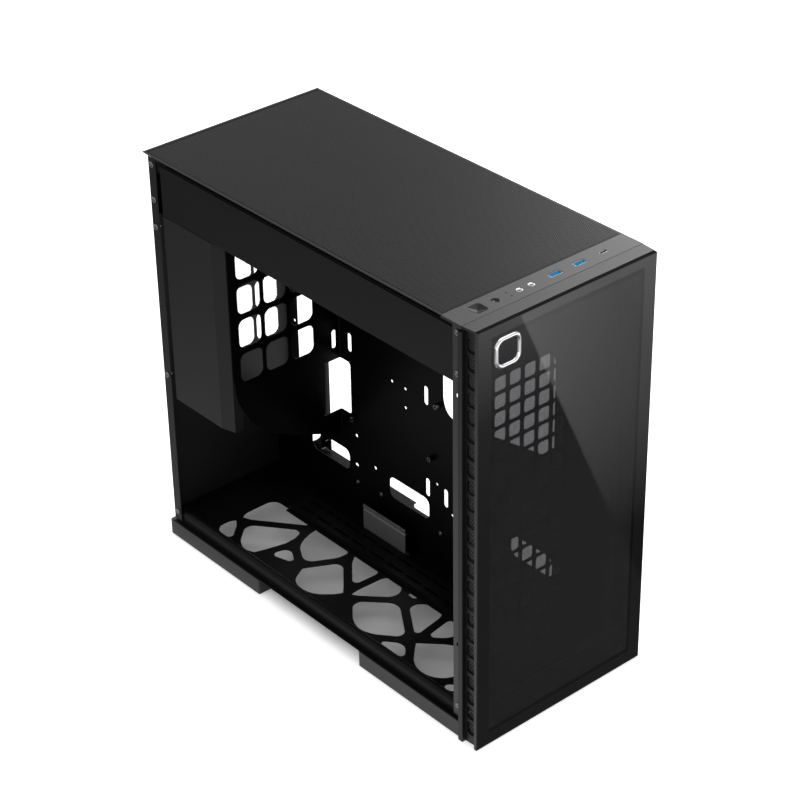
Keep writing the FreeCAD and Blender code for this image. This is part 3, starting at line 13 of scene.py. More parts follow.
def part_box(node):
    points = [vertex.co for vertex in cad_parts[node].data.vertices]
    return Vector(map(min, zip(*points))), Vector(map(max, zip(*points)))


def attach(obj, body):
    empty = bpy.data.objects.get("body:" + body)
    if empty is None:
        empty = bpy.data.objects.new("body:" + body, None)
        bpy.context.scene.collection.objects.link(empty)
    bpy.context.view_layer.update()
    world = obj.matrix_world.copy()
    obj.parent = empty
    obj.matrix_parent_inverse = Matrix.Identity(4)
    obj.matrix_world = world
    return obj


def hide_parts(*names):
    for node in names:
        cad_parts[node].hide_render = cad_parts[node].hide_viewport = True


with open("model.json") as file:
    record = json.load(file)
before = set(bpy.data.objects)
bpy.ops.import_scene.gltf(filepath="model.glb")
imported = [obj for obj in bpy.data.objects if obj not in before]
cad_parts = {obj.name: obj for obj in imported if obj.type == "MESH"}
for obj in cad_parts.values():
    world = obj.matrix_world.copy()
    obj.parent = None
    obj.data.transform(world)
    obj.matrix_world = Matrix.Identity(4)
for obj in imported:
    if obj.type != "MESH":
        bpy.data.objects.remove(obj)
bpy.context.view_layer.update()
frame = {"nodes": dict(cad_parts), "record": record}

LOG = logging.getLogger("tower_case")
EPSILON = 0.00002
STEEL = 0.001
CASE_TOP = 0.48
GLASS_FACE = -0.2547
UP = Vector((0, 0, 1))
STRAIGHT, GENTLE, SQUARE = math.radians(2), math.radians(18), math.radians(75)
SHEET_EDGE, PART_EDGE = math.radians(28), math.radians(24)
LEVEL = 0.9999
OTHER_AXES = ((1, 2), (0, 2), (0, 1))

Colour = tuple[float, float, float]
Ring = tuple[float, float, float]
Socket = bpy.types.NodeSocket
Span = tuple[Vector, Vector]


class Body(Enum):
    """The moving groups of the CAD frame."""

    CHASSIS = "chassis"
    POWER = "power_button_body"
    RESET = "reset_button_body"


class Grain(Enum):
    """Kinds of surface relief: features per metre and depth in metres."""

    POWDER = (1400.0, 0.00003)
    MOULDED = (900.0, 0.00004)
    POLISHED = (60.0, 0.0000003)
    RUBBER = (500.0, 0.00008)
    DRAWN = (2500.0, 0.000008)


# Node trees

class Tree:
    """A node tree with short calls to add and join nodes."""

    def __init__(self, tree: bpy.types.NodeTree) -> None:
        """Take hold of a tree.

        Args:
            tree: The tree to work in.
        """
        self.tree = tree

    def add(self, kind: str, inputs: Optional[dict] = None, **settings) -> bpy.types.Node:
        """Add one node.

        Args:
            kind: The node's type name.
            inputs: Values or outgoing sockets for its inputs, by name or number.
            **settings: Properties of the node itself.

        Returns:
            The new node.
        """
        node = self.tree.nodes.new(kind)
        for key, value in settings.items():
            setattr(node, key, value)
        for key, value in (inputs or {}).items():
            self.feed(node.inputs[key], value)
        return node

    def feed(self, socket: Socket, value: object) -> None:
        """Join a socket to an input, or set the input's value.

        Args:
            socket: The input.
            value: An outgoing socket or a plain value.
        """
        if isinstance(value, Socket):
            self.tree.links.new(value, socket)
        else:
            socket.default_value = value

    def math(self, operation: str, first, second=0.0, clamp: bool = False) -> Socket:
        """Add one sum of two numbers.

        Args:
            operation: The math node's operation.
            first: A socket or number.
            second: A socket or number.
            clamp: Keep the result between 0 and 1.

        Returns:
            The socket with the result.
        """
        sockets = {0: first, 1: second}
        return self.add("ShaderNodeMath", sockets, operation=operation, use_clamp=clamp).outputs[0]

    def blend(self, factor, first, second) -> Socket:
        """Blend two colours.

        Args:
            factor: How much of the second colour.
            first: A socket or an RGBA value.
            second: A socket or an RGBA value.

        Returns:
            The blended colour.
        """
        return self.add("ShaderNodeMix", {0: factor, 6: first, 7: second}, data_type="RGBA").outputs[2]

    def place(self) -> list[Socket]:
        """The place on the object.

        Returns:
            The sockets of X, Y and Z.
        """
        where = self.add("ShaderNodeTexCoord").outputs["Object"]
        return list(self.add("ShaderNodeSeparateXYZ", {0: where}).outputs)

    def background_ray(self) -> Socket:
        """Tell the rays that show the background from those that light the object.

        Returns:
            1 for what is looked at straight, through glass or in a mirror, and otherwise 0.
        """
        seen = self.add("ShaderNodeLightPath").outputs
        straight = self.math("MAXIMUM", seen["Is Camera Ray"], seen["Is Transmission Ray"])
        return self.math("MAXIMUM", straight, seen["Is Glossy Ray"])


def shader_group(name: str, inputs: Sequence[tuple[str, str, object]], outputs: Sequence[tuple[str, str]],
                 fill: Callable[[Tree, bpy.types.Node, bpy.types.Node], None]) -> bpy.types.NodeTree:
    """Make a shader node group once and hand it back.

    Args:
        name: The group's name.
        inputs: Name, socket type and default of each input.
        outputs: Name and socket type of each output.
        fill: Called with the tree, the group's input node and its output node.

    Returns:
        The group's tree.
    """
    tree = bpy.data.node_groups.new(name, "ShaderNodeTree")
    for label, kind, value in inputs:
        socket = tree.interface.new_socket(name=label, in_out="INPUT", socket_type=kind)
        if value is not None:
            socket.default_value = value
    for label, kind in outputs:
        tree.interface.new_socket(name=label, in_out="OUTPUT", socket_type=kind)
    helper = Tree(tree)
    fill(helper, helper.add("NodeGroupInput"), helper.add("NodeGroupOutput"))
    return tree


def grain_group() -> bpy.types.NodeTree:
    """Relief and slow clouding of a coated or moulded surface.

    Returns:
        A group with a Height and a Cloud output.
    """
    def fill(tree: Tree, entry: bpy.types.Node, exit_node: bpy.types.Node) -> None:
        """Join the two noises to the group's outputs."""
        given = entry.outputs
        fine = tree.add("ShaderNodeTexNoise", {"Vector": given["Vector"], "Scale": given["Scale"],
                                               "Detail": 3.0, "Roughness": 0.55})
        cloud = tree.add("ShaderNodeTexNoise", {"Vector": given["Vector"], "Scale": 9.0, "Detail": 4.0})
        tree.feed(exit_node.inputs["Height"], fine.outputs[0])
        tree.feed(exit_node.inputs["Cloud"], cloud.outputs[0])

    return shader_group("surface_grain",
                        [("Vector", "NodeSocketVector", None), ("Scale", "NodeSocketFloat", 1000.0)],
                        [("Height", "NodeSocketFloat"), ("Cloud", "NodeSocketFloat")], fill)


def frame_mask_group() -> bpy.types.NodeTree:
    """Printed border of the front glass, by distance from the pane's clear area.

    Returns:
        A group with a Border output: 1 on the print and 0 in the clear area.
    """
    def fill(tree: Tree, entry: bpy.types.Node, exit_node: bpy.types.Node) -> None:
        """Measure how far a place lies outside the clear area."""
        place = tree.add("ShaderNodeSeparateXYZ", {0: entry.outputs["Vector"]})
        left = tree.math("SUBTRACT", entry.outputs["Left"], place.outputs[0])
        right = tree.math("SUBTRACT", place.outputs[0], entry.outputs["Right"])
        low = tree.math("SUBTRACT", entry.outputs["Low"], place.outputs[2])
        high = tree.math("SUBTRACT", place.outputs[2], entry.outputs["High"])
        sides = tree.math("MAXIMUM", left, right)
        ends = tree.math("MAXIMUM", low, high)
        outside = tree.math("MAXIMUM", sides, ends)
        border = tree.math("MULTIPLY", outside, 4000.0)
        tree.feed(exit_node.inputs["Border"], tree.math("ADD", border, 0.5, clamp=True))

    return shader_group("glass_border",
                        [("Vector", "NodeSocketVector", None), ("Left", "NodeSocketFloat", -0.1),
                         ("Right", "NodeSocketFloat", 0.1), ("Low", "NodeSocketFloat", 0.0),
                         ("High", "NodeSocketFloat", 0.4)],
                        [("Border", "NodeSocketFloat")], fill)


def shaded(name: str) -> tuple[bpy.types.Material, Tree, bpy.types.NodeInputs]:
    """Start a node material.

    Args:
        name: Its name.

    Returns:
        The material, its tree and the inputs of its Principled BSDF.
    """
    material = bpy.data.materials.new(name)
    material.use_nodes = True
    return material, Tree(material.node_tree), material.node_tree.nodes["Principled BSDF"].inputs


# Finishes

@dataclass(frozen=True)
class Finish:
    """One surface finish.

    Attributes:
        slot: The record's material slot.
        colour: Base colour.
        roughness: Mean roughness.
        grain: Relief of the surface.
        metallic: 1 for bare metal.
        specular: Specular level.
        spread: How far the roughness strays.
        edge: Radius over which edges are eased, in metres.
    """

    slot: str
    colour: Colour
    roughness: float
    grain: Grain = Grain.POWDER
    metallic: float = 0.0
    specular: float = 0.5
    spread: float = 0.06
    edge: float = 0.0004

    def build(self, name: Optional[str] = None) -> bpy.types.Material:
        """Make the material.

        Args:
            name: Its name, if it differs from the slot's.

        Returns:
            The new material.
        """
        material, tree, shader = shaded(name or self.slot)
        scale, depth = self.grain.value
        grain = tree.add("ShaderNodeGroup", node_tree=GROUPS["grain"])
        tree.feed(grain.inputs["Vector"], tree.add("ShaderNodeTexCoord").outputs["Object"])
        tree.feed(grain.inputs["Scale"], scale)
        height, cloud = grain.outputs["Height"], grain.outputs["Cloud"]
        dark = tuple(part * 0.88 for part in self.colour) + (1.0,)
        pale = tuple(min(part * 1.12, 1.0) for part in self.colour) + (1.0,)
        stray = tree.math("MULTIPLY", tree.math("SUBTRACT", cloud, 0.5), self.spread * 2)
        eased_edge = tree.add("ShaderNodeBevel", {"Radius": self.edge}, samples=4)
        bump = tree.add("ShaderNodeBump", {"Height": height, "Strength": 0.35, "Distance": depth,
                                           "Normal": eased_edge.outputs[0]})
        for label, value in {
                "Base Color": tree.blend(cloud, dark, pale), "Normal": bump.outputs[0],
                "Roughness": tree.math("ADD", stray, self.roughness, clamp=True), "Metallic": self.metallic,
                "Specular IOR Level": self.specular}.items():
            tree.feed(shader[label], value)
        return material


@dataclass(frozen=True)
class GlassFinish:
    """Dark tinted pane with an opaque printed border and black, rougher edge faces.

    Attributes:
        slot: The record's material slot.
        tint: Colour of the glass.
        clear: The clear area: left, right, low, high, in metres.
        printed: Colour of the border, black so that nothing shows through.
        sheen: Weight and roughness of the coat that the printed border has.
    """

    slot: str
    tint: Colour
    clear: tuple[float, float, float, float]
    printed: Colour = (0.0, 0.0, 0.0)
    sheen: tuple[float, float] = (0.4, 0.3)

    def build(self) -> bpy.types.Material:
        """Make the material.

        Returns:
            The new material.
        """
        material, tree, shader = shaded(self.slot)
        mask = tree.add("ShaderNodeGroup", node_tree=GROUPS["border"])
        tree.feed(mask.inputs["Vector"], tree.add("ShaderNodeTexCoord").outputs["Object"])
        for label, value in zip(("Left", "Right", "Low", "High"), self.clear):
            tree.feed(mask.inputs[label], value)
        # The pane's edge faces take the border's black and a rougher finish.
        normal = tree.add("ShaderNodeNewGeometry").outputs["True Normal"]
        facing = tree.add("ShaderNodeSeparateXYZ", {0: normal}).outputs[1]
        rim = tree.math("LESS_THAN", tree.math("ABSOLUTE", facing), 0.95)
        border = tree.math("MAXIMUM", mask.outputs["Border"], rim)
        for label, value in {
                "Base Color": tree.blend(border, self.tint + (1.0,), self.printed + (1.0,)),
                "Roughness": tree.math("ADD", tree.math("MULTIPLY", rim, 0.7), 0.02),
                "Coat Weight": tree.math("MULTIPLY", border, self.sheen[0]), "Coat Roughness": self.sheen[1],
                "Transmission Weight": 1.0, "IOR": 1.5}.items():
            tree.feed(shader[label], value)
        return material


FINISHES = [
    Finish("chassis_paint", (0.0038, 0.0038, 0.0042), 0.42, specular=0.08),
    Finish("tray_paint", (0.0008, 0.0008, 0.0010), 0.40, specular=0.07),
    Finish("bracket_paint", (0.12, 0.12, 0.122), 0.26, specular=0.7),
    Finish("slot_cover_paint", (0.012, 0.012, 0.013), 0.45, specular=0.35),
    Finish("top_paint", (0.012, 0.012, 0.0127), 0.34, specular=0.11),
    Finish("strip_paint", (0.026, 0.026, 0.027), 0.38, specular=0.28),
    Finish("button_paint", (0.003, 0.003, 0.0034), 0.18, specular=0.12),
    Finish("panel_plastic", (0.013, 0.013, 0.0137), 0.40, Grain.MOULDED, specular=0.31),
    Finish("vent_mesh", (0.07, 0.07, 0.072), 0.38, Grain.POWDER, edge=0.0001),
    Finish("filter_mesh", (0.02, 0.02, 0.022), 0.7, Grain.DRAWN, edge=0.0001),
    Finish("badge_metal", (0.60, 0.605, 0.62), 0.09, Grain.POLISHED, metallic=1.0, spread=0.02),
    Finish("badge_dark", (0.003, 0.003, 0.0035), 0.05, Grain.POLISHED),
    Finish("foot_plastic", (0.012, 0.012, 0.013), 0.5, Grain.MOULDED, specular=0.4, edge=0.0006),
    Finish("pad_rubber", (0.02, 0.02, 0.02), 0.85, Grain.RUBBER),
    Finish("screw_nickel", (0.16, 0.16, 0.17), 0.26, Grain.DRAWN, metallic=1.0, edge=0.0002),
    Finish("stud_brass", (0.09, 0.09, 0.095), 0.30, Grain.DRAWN, metallic=1.0, edge=0.0002),
    Finish("board_resin", (0.01, 0.018, 0.012), 0.35, Grain.POLISHED),
    Finish("switch_plastic", (0.03, 0.03, 0.03), 0.5, Grain.MOULDED),
    Finish("lens_clear", (0.003, 0.003, 0.0035), 0.3, Grain.POLISHED, specular=0.1),
    Finish("jack_metal", (0.62, 0.62, 0.63), 0.16, Grain.DRAWN, metallic=1.0, edge=0.0002),
    Finish("port_steel", (0.42, 0.42, 0.43), 0.3, Grain.DRAWN, metallic=1.0, edge=0.0001),
    Finish("port_blue", (0.0, 0.24, 0.56), 0.6, Grain.MOULDED, specular=0.03, edge=0.0001),
    Finish("port_black", (0.006, 0.006, 0.006), 0.45, Grain.MOULDED, edge=0.0001),
]
VARIANTS = {
    "cover_paint": Finish("chassis_paint", (0.0095, 0.0095, 0.0105), 0.48, specular=0.25),
    "band_paint": Finish("chassis_paint", (0.0050, 0.0050, 0.0057), 0.48, specular=0.15),
    "rear_paint": Finish("chassis_paint", (0.013, 0.013, 0.0137), 0.45, specular=0.2),
    "side_plastic": Finish("panel_plastic", (0.0075, 0.0075, 0.008), 0.46, Grain.MOULDED, specular=0.26),
    "pillar_paint": Finish("chassis_paint", (0.020, 0.020, 0.021), 0.42, specular=0.40),
    "edge_black": Finish("glass_dark", (0.003, 0.003, 0.003), 0.8, Grain.RUBBER, specular=0.05),
    # Black, rough finish of the sheet that paints the shade in the top cover's holes.
    "painted_shade_black": Finish("top_paint", (0.006, 0.006, 0.006), 0.9, Grain.RUBBER, specular=0.1),
}
GLASS = GlassFinish("glass_dark", (0.072, 0.072, 0.075), (-0.0984, 0.0984, 0.016, 0.469))

GROUPS: dict[str, bpy.types.NodeTree] = {}
MATERIALS: dict[str, bpy.types.Material] = {}


# Mesh helpers

def linked(name: str, data: bpy.types.ID) -> bpy.types.Object:
    """Make an object and put it into the scene.

    Args:
        name: Its name.
        data: Its mesh, curve, light or camera.

    Returns:
        The object.
    """
    made = bpy.data.objects.new(name, data)
    bpy.context.scene.collection.objects.link(made)
    return made


def plain(holder: bpy.types.Object, name: str) -> bpy.types.Mesh:
    """The finished mesh of an object, which is then removed.

    Args:
        holder: An object with a modifier, or a curve.
        name: Name of the mesh.

    Returns:
        A plain mesh.
    """
    bpy.context.view_layer.update()
    result = bpy.data.meshes.new_from_object(holder.evaluated_get(bpy.context.evaluated_depsgraph_get()))
    result.name = name
    holder.modifiers.clear()
    bpy.data.objects.remove(holder)
    return result


def finished(made: bmesh.types.BMesh, name: str) -> bpy.types.Mesh:
    """Turn a BMesh into a mesh and free it.

    Args:
        made: The BMesh.
        name: Name of the mesh.

    Returns:
        The mesh.
    """
    mesh = bpy.data.meshes.new(name)
    made.to_mesh(mesh)
    made.free()
    return mesh


def rectangle(name: str, low: Sequence[float], high: Sequence[float], level: float) -> bpy.types.Mesh:
    """A level rectangle that faces up.

    Args:
        name: Name of the mesh.
        low: X and Y of its lowest corner.
        high: X and Y of its highest corner.
        level: Its height.

    Returns:
        The mesh.
    """
    mesh = bpy.data.meshes.new(name)
    mesh.from_pydata([(low[0], low[1], level), (high[0], low[1], level), (high[0], high[1], level),
                      (low[0], high[1], level)], [], [(0, 1, 2, 3)])
    return mesh


def add_box(made: bmesh.types.BMesh, low: Sequence[float], high: Sequence[float]) -> None:
    """Add a box.

    Args:
        made: The BMesh that takes it.
        low: Its lowest corner.
        high: Its highest corner.
    """
    for vert in bmesh.ops.create_cube(made, size=1.0)["verts"]:
        vert.co = Vector(low[axis] if vert.co[axis] < 0 else high[axis] for axis in range(3))


def join_rings(made: bmesh.types.BMesh, loops: Sequence[Sequence[bmesh.types.BMVert]]) -> None:
    """Join each ring of corners to the next with four-sided faces.

    Args:
        made: The BMesh that holds them.
        loops: The rings, each with as many corners.
    """
    for low, high in zip(loops, loops[1:]):
        for step in range(len(low)):
            after = (step + 1) % len(low)
            made.faces.new((low[step], low[after], high[after], high[step]))


def box_of(node: str) -> Span:
    """The corners of a CAD node.

    Args:
        node: The node's name.

    Returns:
        Its lowest and highest corner.
    """
    low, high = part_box(node)
    return Vector(low), Vector(high)


def piece(name: str, mesh: bpy.types.Mesh, body: Body, slot: str,
          replaces: Sequence[str] = ()) -> bpy.types.Object:
    """Put a finished mesh into the scene as a piece of the object.

    Args:
        name: The piece's name.
        mesh: Its mesh, already in place.
        body: The body that it rides on.
        slot: The record's slot for its finish.
        replaces: CAD nodes that it stands for.

    Returns:
        The new object.
    """
    made = linked(name, mesh)
    if not mesh.materials:
        mesh.materials.append(MATERIALS[slot])
    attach(made, body.value)
    if replaces:
        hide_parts(*replaces)
    return made


def islands(node: str) -> list[Span]:
    """The separate solids of a CAD node.

    Args:
        node: The node's name.

    Returns:
        The lowest and highest corner of each solid.
    """
    mesh = bmesh.new()
    mesh.from_mesh(frame["nodes"][node].data)
    bmesh.ops.remove_doubles(mesh, verts=mesh.verts, dist=1e-6)
    waiting = set(mesh.verts)
    spans = []
    while waiting:
        group, edge = set(), [waiting.pop()]
        while edge:
            vert = edge.pop()
            group.add(vert)
            for link in vert.link_edges:
                other = link.other_vert(vert)
                if other in waiting:
                    waiting.discard(other)
                    edge.append(other)
        low = Vector(min(vert.co[axis] for vert in group) for axis in range(3))
        high = Vector(max(vert.co[axis] for vert in group) for axis in range(3))
        spans.append((low, high))
    mesh.free()
    return sorted(spans, key=lambda span: tuple(round(part, 4) for part in span[0]))


def grown(tree: bpy.types.NodeTree, seed: bpy.types.Mesh, values: dict[str, object],
          name: str) -> bpy.types.Mesh:
    """Run a Geometry Nodes tree on a mesh and keep the plain result.

    Args:
        tree: The tree.
        seed: The mesh that it starts from.
        values: Its inputs by name.
        name: Name of the result.

    Returns:
        A plain mesh with no modifier.
    """
    holder = linked(name + "_seed", seed)
    modifier = holder.modifiers.new("grow", "NODES")
    modifier.node_group = tree
    for item in tree.interface.items_tree:
        if item.item_type == "SOCKET" and item.in_out == "INPUT" and item.name in values:
            modifier[item.identifier] = values[item.name]
    return plain(holder, name)


def geometry_tree(name: str, inputs: Sequence[tuple[str, str, object]]) -> tuple[Tree, dict, bpy.types.Node]:
    """Start a Geometry Nodes tree.

    Args:
        name: The tree's name.
        inputs: Name, socket type and default of each input after the geometry.

    Returns:
        The tree's helper, its input sockets by name, and its output node.
    """
    tree = bpy.data.node_groups.new(name, "GeometryNodeTree")
    tree.interface.new_socket(name="Geometry", in_out="INPUT", socket_type="NodeSocketGeometry")
    for label, kind, value in inputs:
        socket = tree.interface.new_socket(name=label, in_out="INPUT", socket_type=kind)
        if value is not None:
            socket.default_value = value
    tree.interface.new_socket(name="Geometry", in_out="OUTPUT", socket_type="NodeSocketGeometry")
    helper = Tree(tree)
    entry = helper.add("NodeGroupInput")
    sockets = {socket.name: socket for socket in entry.outputs if socket.name}
    return helper, sockets, helper.add("NodeGroupOutput")


def hex_sheet_tree() -> bpy.types.NodeTree:
    """A flat sheet of six-sided cells, each with an open middle.

    Returns:
        A tree with the inputs Columns, Rows, Pitch, Open and Finish.
    """
    tree, given, out = geometry_tree("hex_sheet", [
        ("Columns", "NodeSocketInt", 10), ("Rows", "NodeSocketInt", 10), ("Pitch", "NodeSocketFloat", 0.003),
        ("Open", "NodeSocketFloat", 0.7), ("Finish", "NodeSocketMaterial", None)])
    step = tree.math("MULTIPLY", given["Pitch"], math.sqrt(3) / 2)
    wide = tree.math("MULTIPLY", tree.math("SUBTRACT", given["Columns"], 1.0), step)
    tall = tree.math("MULTIPLY", tree.math("SUBTRACT", given["Rows"], 1.0), given["Pitch"])
    grid = tree.add("GeometryNodeMeshGrid", {"Size X": wide, "Size Y": tall, "Vertices X": given["Columns"],
                                             "Vertices Y": given["Rows"]})
    index = tree.add("GeometryNodeInputIndex").outputs[0]
    column = tree.math("FLOOR", tree.math("DIVIDE", index, given["Rows"]))
    odd = tree.math("MODULO", column, 2.0)
    shift = tree.math("MULTIPLY", tree.math("SUBTRACT", odd, 0.5), tree.math("MULTIPLY", given["Pitch"], 0.5))
    offset = tree.add("ShaderNodeCombineXYZ", {1: shift})
    moved = tree.add("GeometryNodeSetPosition", {"Geometry": grid.outputs[0], "Offset": offset.outputs[0]})
    radius = tree.math("DIVIDE", given["Pitch"], math.sqrt(3))
    cell = tree.add("GeometryNodeMeshCircle", {"Vertices": 6, "Radius": radius}, fill_type="NGON")
    inset = tree.add("GeometryNodeExtrudeMesh", {"Mesh": cell.outputs[0], "Offset Scale": 0.0}, mode="FACES")
    middle = inset.outputs["Top"]
    scaled = tree.add("GeometryNodeScaleElements", {"Geometry": inset.outputs["Mesh"], "Selection": middle,
                                                    "Scale": given["Open"]})
    ring = tree.add("GeometryNodeDeleteGeometry", {"Geometry": scaled.outputs[0], "Selection": middle},
                    domain="FACE")
    laid = tree.add("GeometryNodeInstanceOnPoints", {"Points": moved.outputs[0], "Instance": ring.outputs[0]})
    real = tree.add("GeometryNodeRealizeInstances", {0: laid.outputs[0]})
    painted = tree.add("GeometryNodeSetMaterial", {"Geometry": real.outputs[0], "Material": given["Finish"]})
    tree.feed(out.inputs[0], painted.outputs[0])
    return tree.tree


def scatter_tree() -> bpy.types.NodeTree:
    """Copies of one part on points, each turned to its point's facing and a seeded turn of its own.

    Returns:
        A tree with the inputs Part, Finish and Seed.
    """
    tree, given, out = geometry_tree("scatter", [
        ("Part", "NodeSocketObject", None), ("Finish", "NodeSocketMaterial", None),
        ("Seed", "NodeSocketInt", 1)])
    part = tree.add("GeometryNodeObjectInfo", {"Object": given["Part"]})
    facing = tree.add("GeometryNodeInputNamedAttribute", {"Name": "facing"}, data_type="FLOAT_VECTOR")
    turn = tree.add("FunctionNodeAlignRotationToVector", {"Vector": facing.outputs[0]}, axis="Z")
    laid = tree.add("GeometryNodeInstanceOnPoints", {"Points": given["Geometry"],
                                                     "Instance": part.outputs["Geometry"],
                                                     "Rotation": turn.outputs[0]})
    chance = tree.add("FunctionNodeRandomValue", {2: 0.0, 3: math.pi / 2, "Seed": given["Seed"]},
                      data_type="FLOAT")
    spin = tree.add("ShaderNodeCombineXYZ", {2: chance.outputs[1]})
    spun = tree.add("GeometryNodeRotateInstances", {"Instances": laid.outputs[0], "Rotation": spin.outputs[0],
                                                    "Local Space": True})
    real = tree.add("GeometryNodeRealizeInstances", {0: spun.outputs[0]})
    painted = tree.add("GeometryNodeSetMaterial", {"Geometry": real.outputs[0], "Material": given["Finish"]})
    tree.feed(out.inputs[0], painted.outputs[0])
    return tree.tree


# Building blocks

@dataclass
class HexSheet:
    """A perforated or honeycomb sheet.

    Attributes:
        name: The piece's name.
        slot: Its material slot.
        width: Across its columns, in metres.
        height: Along its rows, in metres.
        pitch: Cell to cell, in metres.
        open_share: Opening of a cell against the cell.
        place: Turns the flat sheet into its place.
        replaces: CAD nodes that it stands for.
    """

    name: str
    slot: str
    width: float
    height: float
    pitch: float
    open_share: float
    place: Matrix
    replaces: tuple[str, ...] = ()

    def build(self) -> bpy.types.Object:
        """Lay the cells and put the sheet in its place.

        Returns:
            The sheet.
        """
        values = {"Columns": int(self.width / (self.pitch * math.sqrt(3) / 2)),
                  "Rows": int(self.height / self.pitch), "Pitch": self.pitch, "Open": self.open_share,
                  "Finish": MATERIALS[self.slot]}
        mesh = grown(GROUPS["hex"], bpy.data.meshes.new("seed"), values, self.name)
        mesh.transform(self.place)
        return piece(self.name, mesh, Body.CHASSIS, self.slot, self.replaces)


@dataclass(frozen=True)
class Flat:
    """One flat of a folded sheet, square to a row axis.

    Attributes:
        axis: 0, 1 or 2 for X, Y or Z.
        face: Where its seen face lies on the axis, in metres.
        back: Where its other face lies.
    """

    axis: int
    face: float
    back: float

    def holds(self, vert: bmesh.types.BMVert) -> bool:
        """Tell whether a corner lies on either face.

        Args:
            vert: The corner.

        Returns:
            True when it does.
        """
        return min(abs(vert.co[self.axis] - self.face), abs(vert.co[self.axis] - self.back)) < EPSILON

    def on_face(self, face: bmesh.types.BMFace) -> bool:
        """Tell whether a polygon lies wholly on the seen face.

        Args:
            face: The polygon.

        Returns:
            True when it does.
        """
        return all(abs(vert.co[self.axis] - self.face) < EPSILON for vert in face.verts)

    def frame(self) -> Matrix:
        """The turn from a flat drawing to the sheet's place.

        Returns:
            A matrix that takes the drawing's Z to the axis.
        """
        first, second = OTHER_AXES[self.axis]
        turned = Matrix.Identity(4)
        for column, row in enumerate((first, second, self.axis)):
            for index in range(3):
                turned[index][column] = 1.0 if index == row else 0.0
        turned[self.axis][3] = (self.face + self.back) / 2
        return turned


def rims(faces: Sequence[bmesh.types.BMFace]) -> list[list[Vector]]:
    """The closed edges of a patch of polygons.

    Args:
        faces: The patch.

    Returns:
        One run of corners for each closed edge.
    """
    patch = set(faces)
    ahead: dict[bmesh.types.BMVert, list[bmesh.types.BMVert]] = {}
    for face in faces:
        for loop in face.loops:
            if sum(1 for other in loop.edge.link_faces if other in patch) == 1:
                ahead.setdefault(loop.vert, []).append(loop.link_loop_next.vert)
    runs = []
    while ahead:
        start = next(iter(ahead))
        run, here = [], start
        while here in ahead:
            following = ahead[here].pop()
            if not ahead[here]:
                del ahead[here]
            run.append(here.co.copy())
            here = following
        runs.append(run)
    return runs


def eased(points: Sequence[Vector], square: float, steps: int = 4) -> list[Vector]:
    """Turn the bevelled corners of a flat outline into smooth ones.

    Args:
        points: The outline.
        square: How far square corners are eased, in metres.
        steps: Parts of one eased corner.

    Returns:
        The smooth outline.
    """
    kept = []
    for index, here in enumerate(points):
        into, out = here - points[index - 1], points[(index + 1) % len(points)] - here
        if into.length > EPSILON and into.angle(out, 0.0) > STRAIGHT:
            kept.append(here)
    smooth = []
    for index, here in enumerate(kept):
        back, on = kept[index - 1] - here, kept[(index + 1) % len(kept)] - here
        turn = math.pi - back.angle(on)
        if turn < GENTLE:
            smooth.append(here)
            continue
        share = 0.499 * min(back.length, on.length)
        reach = min(share, square) if turn > SQUARE else share
        if reach < 2 * EPSILON:
            smooth.append(here)
            continue
        start, end = here + back.normalized() * reach, here + on.normalized() * reach
        for step in range(steps + 1):
            part = step / steps
            smooth.append(start * (1 - part) ** 2 + here * 2 * part * (1 - part) + end * part ** 2)
    return smooth


@dataclass
class FoldedSheet:
    """A folded sheet of the CAD frame with the corners of its windows made smooth.

    Attributes:
        node: The CAD node that it stands for.
        slot: Its material slot.
        flats: The flats that hold windows.
        square: Easing of square corners, in metres.
        edge: Size of the bevel along all edges of the flats.
        finish: Name of its material, if it differs from the slot's.
    """

    node: str
    slot: str
    flats: tuple[Flat, ...]
    square: float = 0.0
    edge: float = 0.00012
    finish: str = ""

    def plate(self, flat: Flat, runs: Sequence[Sequence[Vector]]) -> bpy.types.Mesh:
        """Draw one flat as a filled outline with windows.

        Args:
            flat: Its place.
            runs: Its outer edge and window edges, in space.

        Returns:
            The flat's mesh, in place.
        """
        first, second = OTHER_AXES[flat.axis]
        curve = bpy.data.curves.new(self.node + "_outline", "CURVE")
        curve.dimensions = "2D"
        curve.fill_mode = "BOTH"
        thick = abs(flat.face - flat.back)
        curve.bevel_depth, curve.bevel_resolution = self.edge, 0
        curve.offset = -self.edge
        curve.extrude = thick / 2 - self.edge
        for run in runs:
            points = eased([Vector((point[first], point[second], 0.0)) for point in run], self.square)
            spline = curve.splines.new("POLY")
            spline.points.add(len(points) - 1)
            for slot, point in zip(spline.points, points):
                slot.co = (point.x, point.y, 0.0, 1.0)
            spline.use_cyclic_u = True
        mesh = plain(linked(self.node + "_outline", curve), self.node + "_flat")
        mesh.transform(flat.frame())
        return mesh

    def build(self) -> bpy.types.Object:
        """Draw the flats anew and keep the folds between them.

        Returns:
            The sheet.
        """
        source = bmesh.new()
        source.from_mesh(frame["nodes"][self.node].data)
        bmesh.ops.remove_doubles(source, verts=source.verts, dist=EPSILON / 2)
        plates = []
        for flat in self.flats:
            seen = [face for face in source.faces if flat.on_face(face)]
            plates.append(self.plate(flat, rims(seen)))
            gone = [face for face in source.faces if all(flat.holds(vert) for vert in face.verts)]
            bmesh.ops.delete(source, geom=gone, context="FACES")
        rest = finished(source, self.node + "_folds")
        joined = bmesh.new()
        for mesh in plates:
            joined.from_mesh(mesh)
        bmesh.ops.remove_doubles(joined, verts=joined.verts, dist=1e-7)
        bmesh.ops.recalc_face_normals(joined, faces=joined.faces)
        joined.from_mesh(rest)
        made = finished(joined, self.node + "_smooth")
        made.set_sharp_from_angle(angle=SHEET_EDGE)
        curved = [max(map(abs, face.normal)) <= LEVEL for face in made.polygons]
        made.polygons.foreach_set("use_smooth", curved)
        made.materials.clear()
        made.materials.append(MATERIALS[self.finish or self.slot])
        return piece(self.node + "_smooth", made, Body.CHASSIS, self.slot, (self.node,))


